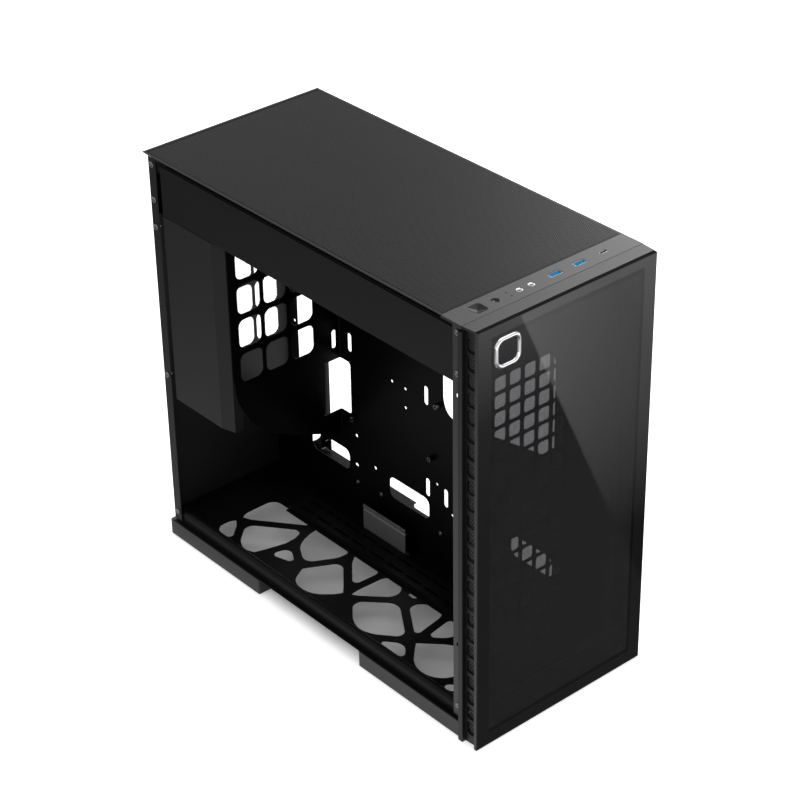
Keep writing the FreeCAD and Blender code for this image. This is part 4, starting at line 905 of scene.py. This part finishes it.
@dataclass
class Turned:
    """Round and square-sided small parts drawn as stacked rings.

    Attributes:
        name: The piece's name.
        slot: Its material slot.
        body: The body that it rides on.
        centre: Middle of the rings on the ground, in metres.
        axis: Direction of the stack.
        rings: Half size, height along the axis and share of rounding of each ring.
        replaces: CAD nodes that it stands for.
        extra: Boxes added to it, as lowest and highest corners.
        count: Points of a ring.
    """

    name: str
    slot: str
    body: Body
    centre: Vector
    axis: Vector
    rings: tuple[Ring, ...]
    replaces: tuple[str, ...] = ()
    extra: tuple[Span, ...] = ()
    count: int = 48

    def ring(self, half: float, share: float) -> list[Vector]:
        """Points of one ring about the origin.

        Args:
            half: Half its width.
            share: Radius of its corners against half its width; 1 is a circle.

        Returns:
            The points.
        """
        radius = half * share
        reach = half - radius
        points = []
        for step in range(self.count):
            turn = math.tau * (step + 0.5) / self.count
            x, y = math.cos(turn), math.sin(turn)
            points.append(Vector((math.copysign(reach, x) + radius * x,
                                  math.copysign(reach, y) + radius * y, 0)))
        return points

    def build(self) -> bpy.types.Object:
        """Stack the rings.

        Returns:
            The part.
        """
        made = bmesh.new()
        lean = UP.rotation_difference(self.axis).to_matrix()
        loops = []
        for half, height, share in self.rings:
            loops.append([made.verts.new(self.centre + lean @ (point + Vector((0, 0, height))))
                          for point in self.ring(max(half, 1e-5), share)])
        join_rings(made, loops)
        for loop in (loops[0], loops[-1]):
            made.faces.new(loop)
        for low, high in self.extra:
            add_box(made, low, high)
        bmesh.ops.recalc_face_normals(made, faces=made.faces)
        mesh = finished(made, self.name)
        mesh.polygons.foreach_set("use_smooth", [True] * len(mesh.polygons))
        mesh.set_sharp_from_angle(angle=PART_EDGE)
        return piece(self.name, mesh, self.body, self.slot, self.replaces)


@dataclass
class Screws:
    """A group of like screws in place of a CAD group.

    Attributes:
        node: The CAD node that gives the places.
        slot: Material slot.
        head: Head radius in metres.
        rise: Head height in metres.
        facing: Gives the outward direction from a screw's box.
        seed: Seed of the turns.
    """

    node: str
    slot: str
    head: float
    rise: float
    facing: Callable[[Span], Vector]
    seed: int = 3

    def master(self) -> bpy.types.Mesh:
        """One pan-head screw with a cross recess, seated at the origin and facing up.

        Returns:
            Its mesh.
        """
        made = bmesh.new()
        count = 24
        rings = [(0.46, -2.4), (0.46, 0.0), (0.97, 0.0), (1.0, 0.12), (0.98, 0.45), (0.88, 0.74),
                 (0.72, 0.92), (0.58, 1.0)]
        loops = []
        for radius, level in rings:
            height = level * self.rise
            loops.append([made.verts.new((self.head * radius * math.cos(math.tau * step / count),
                                          self.head * radius * math.sin(math.tau * step / count), height))
                          for step in range(count)])
        join_rings(made, loops)
        made.faces.new(list(reversed(loops[0])))
        arm, slot_half = 0.46 * self.head, 0.12 * self.head
        cross = [(slot_half, slot_half), (slot_half, arm), (-slot_half, arm), (-slot_half, slot_half),
                 (-arm, slot_half), (-arm, -slot_half), (-slot_half, -slot_half), (-slot_half, -arm),
                 (slot_half, -arm), (slot_half, -slot_half), (arm, -slot_half), (arm, slot_half)]
        rim = [made.verts.new((x, y, self.rise)) for x, y in cross]
        floor = [made.verts.new((x * 0.7, y * 0.7, self.rise * 0.35)) for x, y in cross]
        edges = [made.edges.new((rim[step], rim[(step + 1) % 12])) for step in range(12)]
        top = loops[-1]
        edges += [made.edges.get((top[step], top[(step + 1) % count])) for step in range(count)]
        bmesh.ops.triangle_fill(made, edges=edges, use_beauty=True)
        for step in range(12):
            after = (step + 1) % 12
            made.faces.new((rim[step], floor[step], floor[after], rim[after]))
        made.faces.new(floor)
        inner = [face for face in made.faces
                 if all(vert in rim for vert in face.verts) and len(face.verts) == 3]
        bmesh.ops.delete(made, geom=inner, context="FACES_ONLY")
        bmesh.ops.recalc_face_normals(made, faces=made.faces)
        mesh = finished(made, self.node + "_master")
        for face in mesh.polygons:
            face.use_smooth = len(face.vertices) == 4 and abs(face.normal.z) < 0.995
        return mesh

    def build(self) -> bpy.types.Object:
        """Stand a screw at each place of the CAD group.

        Returns:
            The group as one piece.
        """
        points = bpy.data.meshes.new("points")
        seats, ways = [], []
        for low, high in islands(self.node):
            way = self.facing((low, high))
            middle, half = (low + high) / 2, (high - low) / 2
            tip = middle + Vector(way[axis] * half[axis] for axis in range(3))
            seats.append(tip - way * self.rise)
            ways.append(way)
        points.from_pydata(seats, [], [])
        attribute = points.attributes.new("facing", "FLOAT_VECTOR", "POINT")
        for index, way in enumerate(ways):
            attribute.data[index].vector = way
        master = linked(self.node + "_master", self.master())
        values = {"Part": master, "Finish": MATERIALS[self.slot], "Seed": self.seed}
        mesh = grown(GROUPS["scatter"], points, values, self.node + "_detailed")
        bpy.data.objects.remove(master)
        return piece(self.node + "_detailed", mesh, Body.CHASSIS, self.slot, (self.node,))


@dataclass
class ReflectionCard:
    """Glowing card on the studio floor that only reflections show; its glow paints reflections in the glass
    and other glossy faces.

    Attributes:
        name: Its name.
        low: Its nearest corner on the floor.
        high: Its furthest corner.
        shade: Gives its brightness from the sockets of X and Y.
        level: Its height over the floor, in metres.
    """

    name: str
    low: tuple[float, float]
    high: tuple[float, float]
    shade: Callable[[Tree, Socket, Socket], Socket]
    level: float = 0.0006

    def build(self) -> bpy.types.Object:
        """Lay the card.

        Returns:
            The card.
        """
        mesh = rectangle(self.name, self.low, self.high, self.level)
        material, tree = shaded(self.name)[:2]
        glow = tree.add("ShaderNodeEmission", {"Strength": self.shade(tree, *tree.place()[:2])})
        tree.feed(material.node_tree.nodes["Material Output"].inputs["Surface"], glow.outputs[0])
        mesh.materials.append(material)
        made = linked(self.name, mesh)
        # Only glossy rays see the card: its glow is a painted reflection.
        made.visible_camera = made.visible_diffuse = made.visible_transmission = False
        made.visible_volume_scatter = made.visible_shadow = False
        return made


@dataclass(frozen=True)
class FrontReflectionGlow:
    """Glow of the card on the ground before the glass, a painted reflection in the glass: dark, and beyond a
    slanting edge brighter with distance.

    Attributes:
        edge: A point on the slanting edge, in metres.
        outward: Direction square to the edge, towards the bright part.
        sharpness: How fast the edge turns from dark to bright, per metre.
        start: Distance from the glass at which the bright part begins to rise.
        slope: Its rise per metre.
        least: Its lowest brightness.
        band: Width of the brighter band along the edge.
        band_gain: Extra share of brightness in that band.
        open_gain: Share of brightness far from the edge.
        dark: Brightness of the dark part.
        dark_start: Distance at which the dark part begins to rise.
        dark_slope: Its rise per metre.
    """

    edge: tuple[float, float] = (0.2666, -0.4349)
    outward: tuple[float, float] = (0.858, 0.513)
    sharpness: float = 300.0
    start: float = 0.155
    slope: float = 2.5
    least: float = 0.05
    band: float = 0.14
    band_gain: float = 0.5
    open_gain: float = 0.9
    dark: float = 0.12
    dark_start: float = 0.44
    dark_slope: float = 3.4

    def shade(self, tree: Tree, x: Socket, y: Socket) -> Socket:
        """Work out the brightness.

        Args:
            tree: The card's tree.
            x: Place across.
            y: Place along.

        Returns:
            The brightness.
        """
        across, along = (tree.math("MULTIPLY", tree.math("SUBTRACT", place, point), share)
                         for place, point, share in zip((x, y), self.edge, self.outward))
        over = tree.math("ADD", across, along)
        beyond = tree.math("ADD", tree.math("MULTIPLY", over, self.sharpness), 0.5, clamp=True)
        away = tree.math("SUBTRACT", GLASS_FACE, y)
        rise = tree.math("MULTIPLY", tree.math("SUBTRACT", away, self.start), self.slope)
        near = tree.math("SUBTRACT", 1.0, tree.math("DIVIDE", over, self.band), clamp=True)
        gain = tree.math("ADD", tree.math("MULTIPLY", near, self.band_gain), self.open_gain)
        bright = tree.math("MULTIPLY", tree.math("MAXIMUM", rise, self.least), gain)
        far = tree.math("SUBTRACT", away, self.dark_start, clamp=True)
        dark = tree.math("ADD", tree.math("MULTIPLY", far, self.dark_slope), self.dark)
        return tree.math("ADD", tree.math("MULTIPLY", beyond, bright),
                         tree.math("MULTIPLY", tree.math("SUBTRACT", 1.0, beyond), dark))


@dataclass(frozen=True)
class SideReflectionGlow:
    """Glow of the card on the ground beside the open side, a painted reflection in the case's glossy faces,
    falling off from the front corner.

    Attributes:
        corner: The case's front corner, in metres.
        brightest: Brightness there.
        fall: Loss per metre.
        least: Lowest brightness.
        most: Highest brightness.
    """

    corner: tuple[float, float] = (-0.10, -0.25)
    brightest: float = 1.25
    fall: float = 0.95
    least: float = 0.15
    most: float = 1.1

    def shade(self, tree: Tree, x: Socket, y: Socket) -> Socket:
        """Work out the brightness.

        Args:
            tree: The card's tree.
            x: Place across.
            y: Place along.

        Returns:
            The brightness.
        """
        across, along = tree.math("SUBTRACT", x, self.corner[0]), tree.math("SUBTRACT", y, self.corner[1])
        squares = tree.math("ADD", tree.math("MULTIPLY", across, across), tree.math("MULTIPLY", along, along))
        lost = tree.math("MULTIPLY", tree.math("SQRT", squares), self.fall)
        left = tree.math("SUBTRACT", self.brightest, lost)
        return tree.math("MINIMUM", tree.math("MAXIMUM", left, self.least), self.most)


@dataclass(frozen=True)
class Light:
    """One soft lamp.

    Attributes:
        name: Its name.
        place: Where it hangs.
        target: What it points at.
        size: Width and height.
        power: In watts.
    """

    name: str
    place: tuple[float, float, float]
    target: tuple[float, float, float]
    size: tuple[float, float]
    power: float

    def build(self) -> bpy.types.Object:
        """Hang the lamp.

        Returns:
            The lamp.
        """
        data = bpy.data.lights.new(self.name, "AREA")
        data.shape = "RECTANGLE"
        data.size, data.size_y = self.size
        data.energy = self.power
        made = linked(self.name, data)
        made.location = self.place
        made.rotation_mode = "QUATERNION"
        made.rotation_quaternion = (Vector(self.target) - Vector(self.place)).to_track_quat("-Z", "Y")
        return made


@dataclass
class Studio:
    """Camera, floor, lights, background and the glowing cards that paint reflections.

    Attributes:
        eye: Camera place in metres.
        azimuth: Camera azimuth in degrees.
        elevation: Camera elevation in degrees.
        roll: Camera roll in degrees.
        lens: Focal length in millimetres on a 36 mm sensor.
        painted_shadow_reach: Half width and half length of the ground under the object that gets a painted
            shadow, where the floor's glow is left out.
        painted_shadow_fade: Width over which that painted shadow fades.
        ground_lift: Brightness added to the ground outside the painted shadow where it is looked at.
        painted_shadow_lift: Brightness added to all ground where it is looked at, inside the painted shadow
            too.
        lights: The lamps.
        floor_reach: Half width of the floor.
        world_light: Strength of the background as a light; it is 1 where it is seen.
    """

    eye: tuple[float, float, float] = (-1.357017, -1.598375, 1.540515)
    azimuth: float = -40.55
    elevation: float = 31.67
    roll: float = -0.966
    lens: float = 107.1
    painted_shadow_reach: tuple[float, float] = (0.108, 0.25)
    painted_shadow_fade: float = 0.03
    ground_lift: float = 0.8
    painted_shadow_lift: float = 0.075
    lights: tuple[Light, ...] = (
        Light("overhead", (0.5, -0.4, 2.6), (0, 0, 0.3), (2.4, 2.4), 26.0),
        Light("left_fill", (-2.4, 0.2, 1.6), (0, 0, 0.25), (1.8, 1.4), 4.0),
        Light("back_right", (2.7, 1.2, 1.9), (0, -0.1, 0.48), (1.8, 1.5), 46.0),
        Light("rear_fill", (0.7, 2.7, 0.5), (0, 0, 0.25), (1.6, 0.9), 5.0),
    )
    floor_reach: float = 12.0
    world_light: float = 0.48

    def camera(self) -> bpy.types.Object:
        """Stand the camera at the photograph's place.

        Returns:
            The camera.
        """
        turn, tilt, lean = (math.radians(value) for value in (self.azimuth, self.elevation, self.roll))
        back = Vector((math.sin(turn) * math.cos(tilt), -math.cos(turn) * math.cos(tilt), math.sin(tilt)))
        right = (-back).cross(UP).normalized()
        up = right.cross(-back)
        across = right * math.cos(lean) + up * math.sin(lean)
        upward = up * math.cos(lean) - right * math.sin(lean)
        data = bpy.data.cameras.new("camera")
        data.sensor_width = 36.0
        data.lens = self.lens
        data.clip_start, data.clip_end = 0.05, 60.0
        made = linked("camera", data)
        turned = Matrix((across, upward, back)).transposed().to_4x4()
        made.matrix_world = Matrix.Translation(Vector(self.eye)) @ turned
        bpy.context.scene.camera = made
        return made

    def floor(self) -> None:
        """Lay a plain white floor that keeps soft shadows, with a painted shadow under the object where its
        glow is left out.
        """
        low, high = (-self.floor_reach,) * 2, (self.floor_reach,) * 2
        mesh = rectangle("floor", low, high, 0.0)
        material, tree, shader = shaded("floor_white")
        x, y = tree.place()[:2]
        # Painted shadow: the glow that makes the floor white is left out under the object.
        across = tree.math("SUBTRACT", tree.math("ABSOLUTE", x), self.painted_shadow_reach[0])
        along = tree.math("SUBTRACT", tree.math("ABSOLUTE", y), self.painted_shadow_reach[1])
        away = tree.math("DIVIDE", tree.math("MAXIMUM", across, along), self.painted_shadow_fade)
        outside_painted_shadow = tree.math("ADD", away, 0.5, clamp=True)
        level = tree.math("ADD", tree.math("MULTIPLY", outside_painted_shadow, self.ground_lift), self.painted_shadow_lift)
        for label, value in {
                "Base Color": (0.9, 0.9, 0.9, 1), "Roughness": 1.0, "Specular IOR Level": 0.0,
                "Emission Color": (1, 1, 1, 1),
                "Emission Strength": tree.math("MULTIPLY", level, tree.background_ray())}.items():
            tree.feed(shader[label], value)
        mesh.materials.append(material)
        linked("floor", mesh)

    def world(self) -> None:
        """Give a white background to what looks straight at it and a soft grey light to the rest."""
        world = bpy.data.worlds.new("studio")
        world.use_nodes = True
        bpy.context.scene.world = world
        tree, shade = Tree(world.node_tree), world.node_tree.nodes["Background"].inputs
        seen = tree.math("MULTIPLY", tree.background_ray(), 1.0 - self.world_light)
        tree.feed(shade["Strength"], tree.math("ADD", seen, self.world_light, clamp=True))
        tree.feed(shade["Color"], (1, 1, 1, 1))

    def build(self) -> None:
        """Set up the whole studio."""
        bpy.context.scene.view_settings.view_transform = "Standard"
        self.camera()
        self.floor()
        self.world()
        for light in self.lights:
            light.build()
        # Glowing cards that only glossy rays see: painted reflections in the glass and other glossy faces.
        ReflectionCard("front_card", (-0.6, -2.4), (2.4, GLASS_FACE - 0.0003), FrontReflectionGlow().shade).build()
        ReflectionCard("left_card", (-2.4, -0.9), (-0.1175, 2.4), SideReflectionGlow().shade).build()


# Sub-assemblies

@dataclass
class TopCover:
    """The perforated skin of the top cover and a black sheet under it that paints the shade in its holes.

    Attributes:
        rim: Plain margin beside the holes, in metres.
        front_rim: Plain margin along the port strip.
        pitch: Hole to hole.
        open_share: Opening of a cell against the cell.
        skin: Height of the skin over the plate.
        hollow: Height over the plate of the black sheet that paints the shade in the holes.
        inset: How much further in than the skin the dark sheet ends.
    """

    rim: float = 0.0030
    front_rim: float = 0.0012
    pitch: float = 0.00248
    open_share: float = 0.57
    skin: float = 0.0003
    hollow: float = 0.0001
    inset: float = 0.0004

    def perforation(self) -> list[bpy.types.Object]:
        """Lay the skin in two halves.

        Returns:
            The halves.
        """
        low, high = box_of("top_cover")
        half_rows = int((high.y - low.y - self.rim - self.front_rim) / self.pitch / 2)
        made = []
        for index, part in enumerate(("front", "rear")):
            middle = low.y + self.front_rim + (index + 0.5) * half_rows * self.pitch
            place = Matrix.Translation(((low.x + high.x) / 2, middle, high.z + self.skin))
            made.append(HexSheet(f"top_cover_perforation_{part}", "top_paint", high.x - low.x - 2 * self.rim,
                                 (half_rows + 0.01) * self.pitch, self.pitch, self.open_share, place).build())
        return made

    def painted_shade_sheet(self) -> bpy.types.Object:
        """Lay a black sheet that paints the shade seen through the holes.

        Returns:
            A thin sheet between the skin and the cover's plate.
        """
        low, high = box_of("top_cover")
        margin = self.rim + self.inset
        # Black sheet just under the skin: painted shade in the holes.
        mesh = rectangle("top_cover_hollow", (low.x + margin, low.y + self.front_rim + self.inset),
                         (high.x - margin, high.y - margin), high.z + self.hollow)
        mesh.materials.append(MATERIALS["painted_shade_black"])
        return piece("top_cover_hollow", mesh, Body.CHASSIS, "top_paint")

    def build(self) -> list[bpy.types.Object]:
        """Build the cover's pieces.

        Returns:
            The pieces.
        """
        return [self.painted_shade_sheet(), *self.perforation()]


@dataclass
class PortStrip:
    """The strip of buttons and ports along the front of the top.

    Attributes:
        wall: Thickness of the strip, in metres.
        catch: Lower and upper side of the collar that holds a button in.
        power_half: Half width of the power button.
        power_dip: Depth of its four-sided hollow.
        post_radius: Radius of a light post.
        bore: Radius of a jack's bore.
    """

    wall: float = 0.0025
    catch: tuple[float, float] = (0.4762, 0.4772)
    power_half: float = 0.0078
    power_dip: float = 0.0020
    post_radius: float = 0.00095
    bore: float = 0.00175

    @staticmethod
    def centre(node: str) -> Vector:
        """The middle of a CAD node on the ground."""
        low, high = box_of(node)
        return Vector(((low.x + high.x) / 2, (low.y + high.y) / 2, 0.0))

    def power_button(self) -> Turned:
        """The square button with its sunk four-sided top.

        Returns:
            The button, not yet built.
        """
        low, high = box_of("power_button")
        half, wide, share = self.power_half, (high.x - low.x) / 2, 0.2
        profile = ((half - 0.001, low.z), (half - 0.001, self.catch[0]), (wide, self.catch[0]),
                   (wide, self.catch[1]), (half, self.catch[1]), (half, high.z - 0.0006),
                   (half - 0.0004, high.z - 0.0001), (half - 0.0008, high.z - 0.0001),
                   (0.0, high.z - self.power_dip))
        return Turned("power_button_cap", "button_paint", Body.POWER, self.centre("power_button"), UP,
                      tuple((size, height, share) for size, height in profile), ("power_button",))

    def reset_button(self) -> Turned:
        """The round button with its shallow dish.

        Returns:
            The button, not yet built.
        """
        low, high = box_of("reset_button")
        profile = ((0.0024, low.z), (0.0024, self.catch[0]), (0.0050, self.catch[0]), (0.0050, self.catch[1]),
                   (0.0039, self.catch[1]), (0.0039, high.z - 0.0003), (0.0036, high.z), (0.0031, high.z),
                   (0.0027, high.z - 0.0003), (0.0012, high.z - 0.0006), (0.0, high.z - 0.00065))
        return Turned("reset_button_cap", "button_paint", Body.RESET, self.centre("reset_button"), UP,
                      round_rings(profile), ("reset_button",))

    def light_posts(self) -> list[Turned]:
        """The two posts of the light guide, with the web that joins them.

        Returns:
            The posts, not yet built.
        """
        low, high = box_of("indicator_lenses")
        radius, made = self.post_radius, []
        web = (Vector((low.x, low.y + radius, low.z)), Vector((high.x, high.y - radius, low.z + 0.001)))
        profile = ((radius, low.z), (radius, CASE_TOP - 0.0003), (0.0007, CASE_TOP - 0.0001), (0.0, CASE_TOP))
        for index, along in enumerate((low.y + radius, high.y - radius), start=1):
            first = index == 1
            made.append(Turned(f"indicator_post_{index}", "lens_clear", Body.CHASSIS,
                               Vector(((low.x + high.x) / 2, along, 0.0)), UP, round_rings(profile),
                               ("indicator_lenses",) if first else (), (web,) if first else (), 24))
        return made

    def jacks(self) -> list[Turned]:
        """The bright collars of the audio jacks on their housings, and their dark bores.

        Returns:
            The parts, not yet built.
        """
        made = []
        collar = ((0.0, 0.4680), (0.0018, 0.4680), (0.0018, 0.4790), (0.00215, 0.4794), (0.0027, 0.4798),
                  (0.0030, CASE_TOP), (0.0033, CASE_TOP - 0.0001), (0.0036, CASE_TOP - 0.0006),
                  (0.0036, 0.4770))
        hole = ((self.bore, 0.4682), (self.bore, 0.4776), (0.0, 0.4776))
        for index in (1, 2):
            node = f"audio_jack_{index}"
            low, high = box_of(node)
            housing = (low, Vector((high.x, high.y, self.catch[1])))
            made.append(Turned(node + "_collar", "jack_metal", Body.CHASSIS, self.centre(node), UP,
                               round_rings(collar), (node,), (housing,)))
            made.append(Turned(node + "_bore", "port_black", Body.CHASSIS, self.centre(node), UP,
                               round_rings(hole)))
        return made

    def build(self) -> list[bpy.types.Object]:
        """Build the strip and its small parts.

        Returns:
            The pieces.
        """
        strip = FoldedSheet("port_strip", "strip_paint", (Flat(2, CASE_TOP, CASE_TOP - self.wall),))
        parts = (strip, self.power_button(), self.reset_button(), *self.light_posts(), *self.jacks())
        return [part.build() for part in parts]


@dataclass
class FrontPanel:
    """The glass front with its badge, vented side mouldings and honeycomb.

    Attributes:
        side_wall: Thickness of a side moulding, in metres.
        side_inset: Its seen face against the panel's side.
        comb_pitch: Cell to cell of the honeycomb.
        comb_open: Opening of a cell against the cell.
        edge_inset: How far the black band stays within the pane.
        edge_rise: Half its height on the pane's upper edge.
        ring_wide: Width of the badge ring.
        ring_inset: How far the ring stays within the bezel.
    """

    side_wall: float = 0.0025
    side_inset: float = 0.0045
    comb_pitch: float = 0.0027
    comb_open: float = 0.70
    edge_inset: float = 0.0003
    edge_rise: float = 0.0002
    ring_wide: float = 0.0050
    ring_inset: float = 0.0006

    def sides(self) -> list[bpy.types.Object]:
        """Each side's vented moulding and the honeycomb behind it.

        Returns:
            The pieces.
        """
        face = box_of("front_panel")[1].x - self.side_inset
        made = []
        for side, sign in (("left", -1), ("right", 1)):
            flat = Flat(0, sign * face, sign * (face - self.side_wall))
            moulding = FoldedSheet(f"front_side_{side}", "panel_plastic", (flat,), finish="side_plastic")
            made.append(moulding.build())
            node = f"vent_mesh_{side}"
            low, high = box_of(node)
            place = Matrix.Translation((low + high) / 2) @ Matrix.Rotation(math.radians(90 * sign), 4, "Y")
            made.append(HexSheet(node + "_honeycomb", "vent_mesh", high.z - low.z, high.y - low.y,
                                 self.comb_pitch, self.comb_open, place, (node,)).build())
        return made

    def glass_edge(self) -> bpy.types.Object:
        """A black band along the upper edge of the glass.

        Returns:
            A thin bar on the edge.
        """
        low, high = box_of("front_glass")
        inset, rise = self.edge_inset, self.edge_rise
        made = bmesh.new()
        add_box(made, (low.x + inset, low.y + inset, high.z - rise), (high.x - inset, high.y, high.z + rise))
        mesh = finished(made, "glass_edge_print")
        mesh.materials.append(MATERIALS["edge_black"])
        return piece("glass_edge_print", mesh, Body.CHASSIS, "glass_dark")

    def badge_ring(self) -> bpy.types.Object:
        """The bright ring of the badge, rounded like half a rod.

        Returns:
            The ring.
        """
        low, high = box_of("badge_bezel")
        middle, rise = (low + high) / 2, high.y - low.y
        half = (high.x - low.x) / 2 - self.ring_inset
        crown = tuple((half - self.ring_wide * (1 - math.cos(turn)) / 2, rise * math.sin(turn),
                       0.60 - 0.05 * turn / math.pi) for turn in (math.pi * step / 16 for step in range(17)))
        return Turned("badge_bezel_ring", "badge_metal", Body.CHASSIS, Vector((middle.x, high.y, middle.z)),
                      Vector((0, -1, 0)), crown, ("badge_bezel",), count=96).build()

    def build(self) -> list[bpy.types.Object]:
        """Build the panel's pieces.

        Returns:
            The pieces.
        """
        return [self.glass_edge(), *self.sides(), self.badge_ring()]


@dataclass
class Chassis:
    """The folded sheets of the chassis, the rear filter and the screws.

    Attributes:
        partition: Front face of the partition, in metres.
        floor_top: Upper face of the floor's web.
        filter_pitch: Cell to cell of the rear filter.
        filter_open: Opening of a cell against the cell.
    """

    partition: float = GLASS_FACE + 0.388
    floor_top: float = 0.027
    filter_pitch: float = 0.0020
    filter_open: float = 0.86

    def sheets(self) -> list[FoldedSheet]:
        """The sheets whose windows and edges show.

        Returns:
            The sheets, not yet built.
        """
        rear, left = box_of("rear_wall")[1].y, box_of("rear_wall")[0].x
        wall, tray = box_of("front_wall")[0].y, box_of("motherboard_tray")[1].x
        rail_top = box_of("slotted_rail")[1].z
        paint = "chassis_paint"
        return [
            FoldedSheet("motherboard_tray", "tray_paint", (
                Flat(0, tray - STEEL, tray), Flat(1, self.partition, self.partition + STEEL))),
            FoldedSheet("rear_wall", paint, (Flat(1, rear, rear - STEEL),), finish="rear_paint"),
            FoldedSheet("front_wall", paint, (Flat(1, wall, wall + STEEL),), square=0.003),
            FoldedSheet("floor_pan", paint, (Flat(2, self.floor_top, self.floor_top - STEEL),)),
            FoldedSheet("slotted_rail", paint, (Flat(2, rail_top, rail_top - STEEL),)),
            FoldedSheet("top_side_band", paint, (), finish="band_paint"),
            FoldedSheet("rear_cover", paint, (), finish="cover_paint"),
            FoldedSheet("front_pillar_left", paint, (Flat(0, left, left + STEEL),), finish="pillar_paint"),
            FoldedSheet("front_pillar_right", paint, (Flat(0, -left, -left - STEEL),), finish="pillar_paint"),
        ]

    def rear_filter(self) -> HexSheet:
        """The weave inside the rear windows.

        Returns:
            The sheet, not yet built.
        """
        low, high = box_of("rear_filter_mesh")
        place = Matrix.Translation((low + high) / 2) @ Matrix.Rotation(math.radians(90), 4, "X")
        return HexSheet("rear_filter_weave", "filter_mesh", high.x - low.x, high.z - low.z, self.filter_pitch,
                        self.filter_open, place, ("rear_filter_mesh",))

    def screws(self) -> list[Screws]:
        """The three groups of screws.

        Returns:
            The groups, not yet built.
        """
        return [Screws("panel_screws", "screw_nickel", 0.0034, 0.0020, sideways),
                Screws("slot_screws", "screw_nickel", 0.0030, 0.0018, lambda span: UP),
                Screws("tray_screws", "stud_brass", 0.0030, 0.0018, lambda span: Vector((-1, 0, 0)))]

    def build(self) -> list[bpy.types.Object]:
        """Build the chassis' pieces.

        Returns:
            The pieces.
        """
        return [part.build() for part in (*self.sheets(), self.rear_filter(), *self.screws())]


def round_rings(profile: Sequence[tuple[float, float]]) -> tuple[Ring, ...]:
    """Make a profile into the rings of a round part.

    Args:
        profile: Radius and height of each ring.

    Returns:
        The rings.
    """
    return tuple((radius, height, 1.0) for radius, height in profile)


def sideways(span: Span) -> Vector:
    """Outward direction of a screw on the case's sides.

    Args:
        span: The screw's box.

    Returns:
        -X on the left and +X on the right.
    """
    return Vector((1.0 if span[0].x + span[1].x > 0 else -1.0, 0.0, 0.0))


def build_finishes() -> None:
    """Make the node groups and every material."""
    GROUPS.update(grain=grain_group(), border=frame_mask_group(), hex=hex_sheet_tree(),
                  scatter=scatter_tree())
    MATERIALS.update({finish.slot: finish.build() for finish in (*FINISHES, GLASS)})
    MATERIALS.update({name: finish.build(name) for name, finish in VARIANTS.items()})


def dress_nodes() -> None:
    """Give every CAD node the finish of its slot."""
    for entry in frame["record"]["subparts"]:
        mesh = frame["nodes"][entry["node"]].data
        mesh.materials.clear()
        mesh.materials.append(MATERIALS[entry["material_slot"]])


def main() -> None:
    """Build the finishes, the sub-assemblies and the studio in order."""
    logging.basicConfig(level=logging.INFO, format="%(message)s")
    build_finishes()
    dress_nodes()
    for assembly in (TopCover(), PortStrip(), FrontPanel(), Chassis()):
        for made in assembly.build():
            LOG.info("%s: %d faces", made.name, len(made.data.polygons))
    Studio().build()
    bpy.context.view_layer.update()


if __name__ == "__main__":
    main()
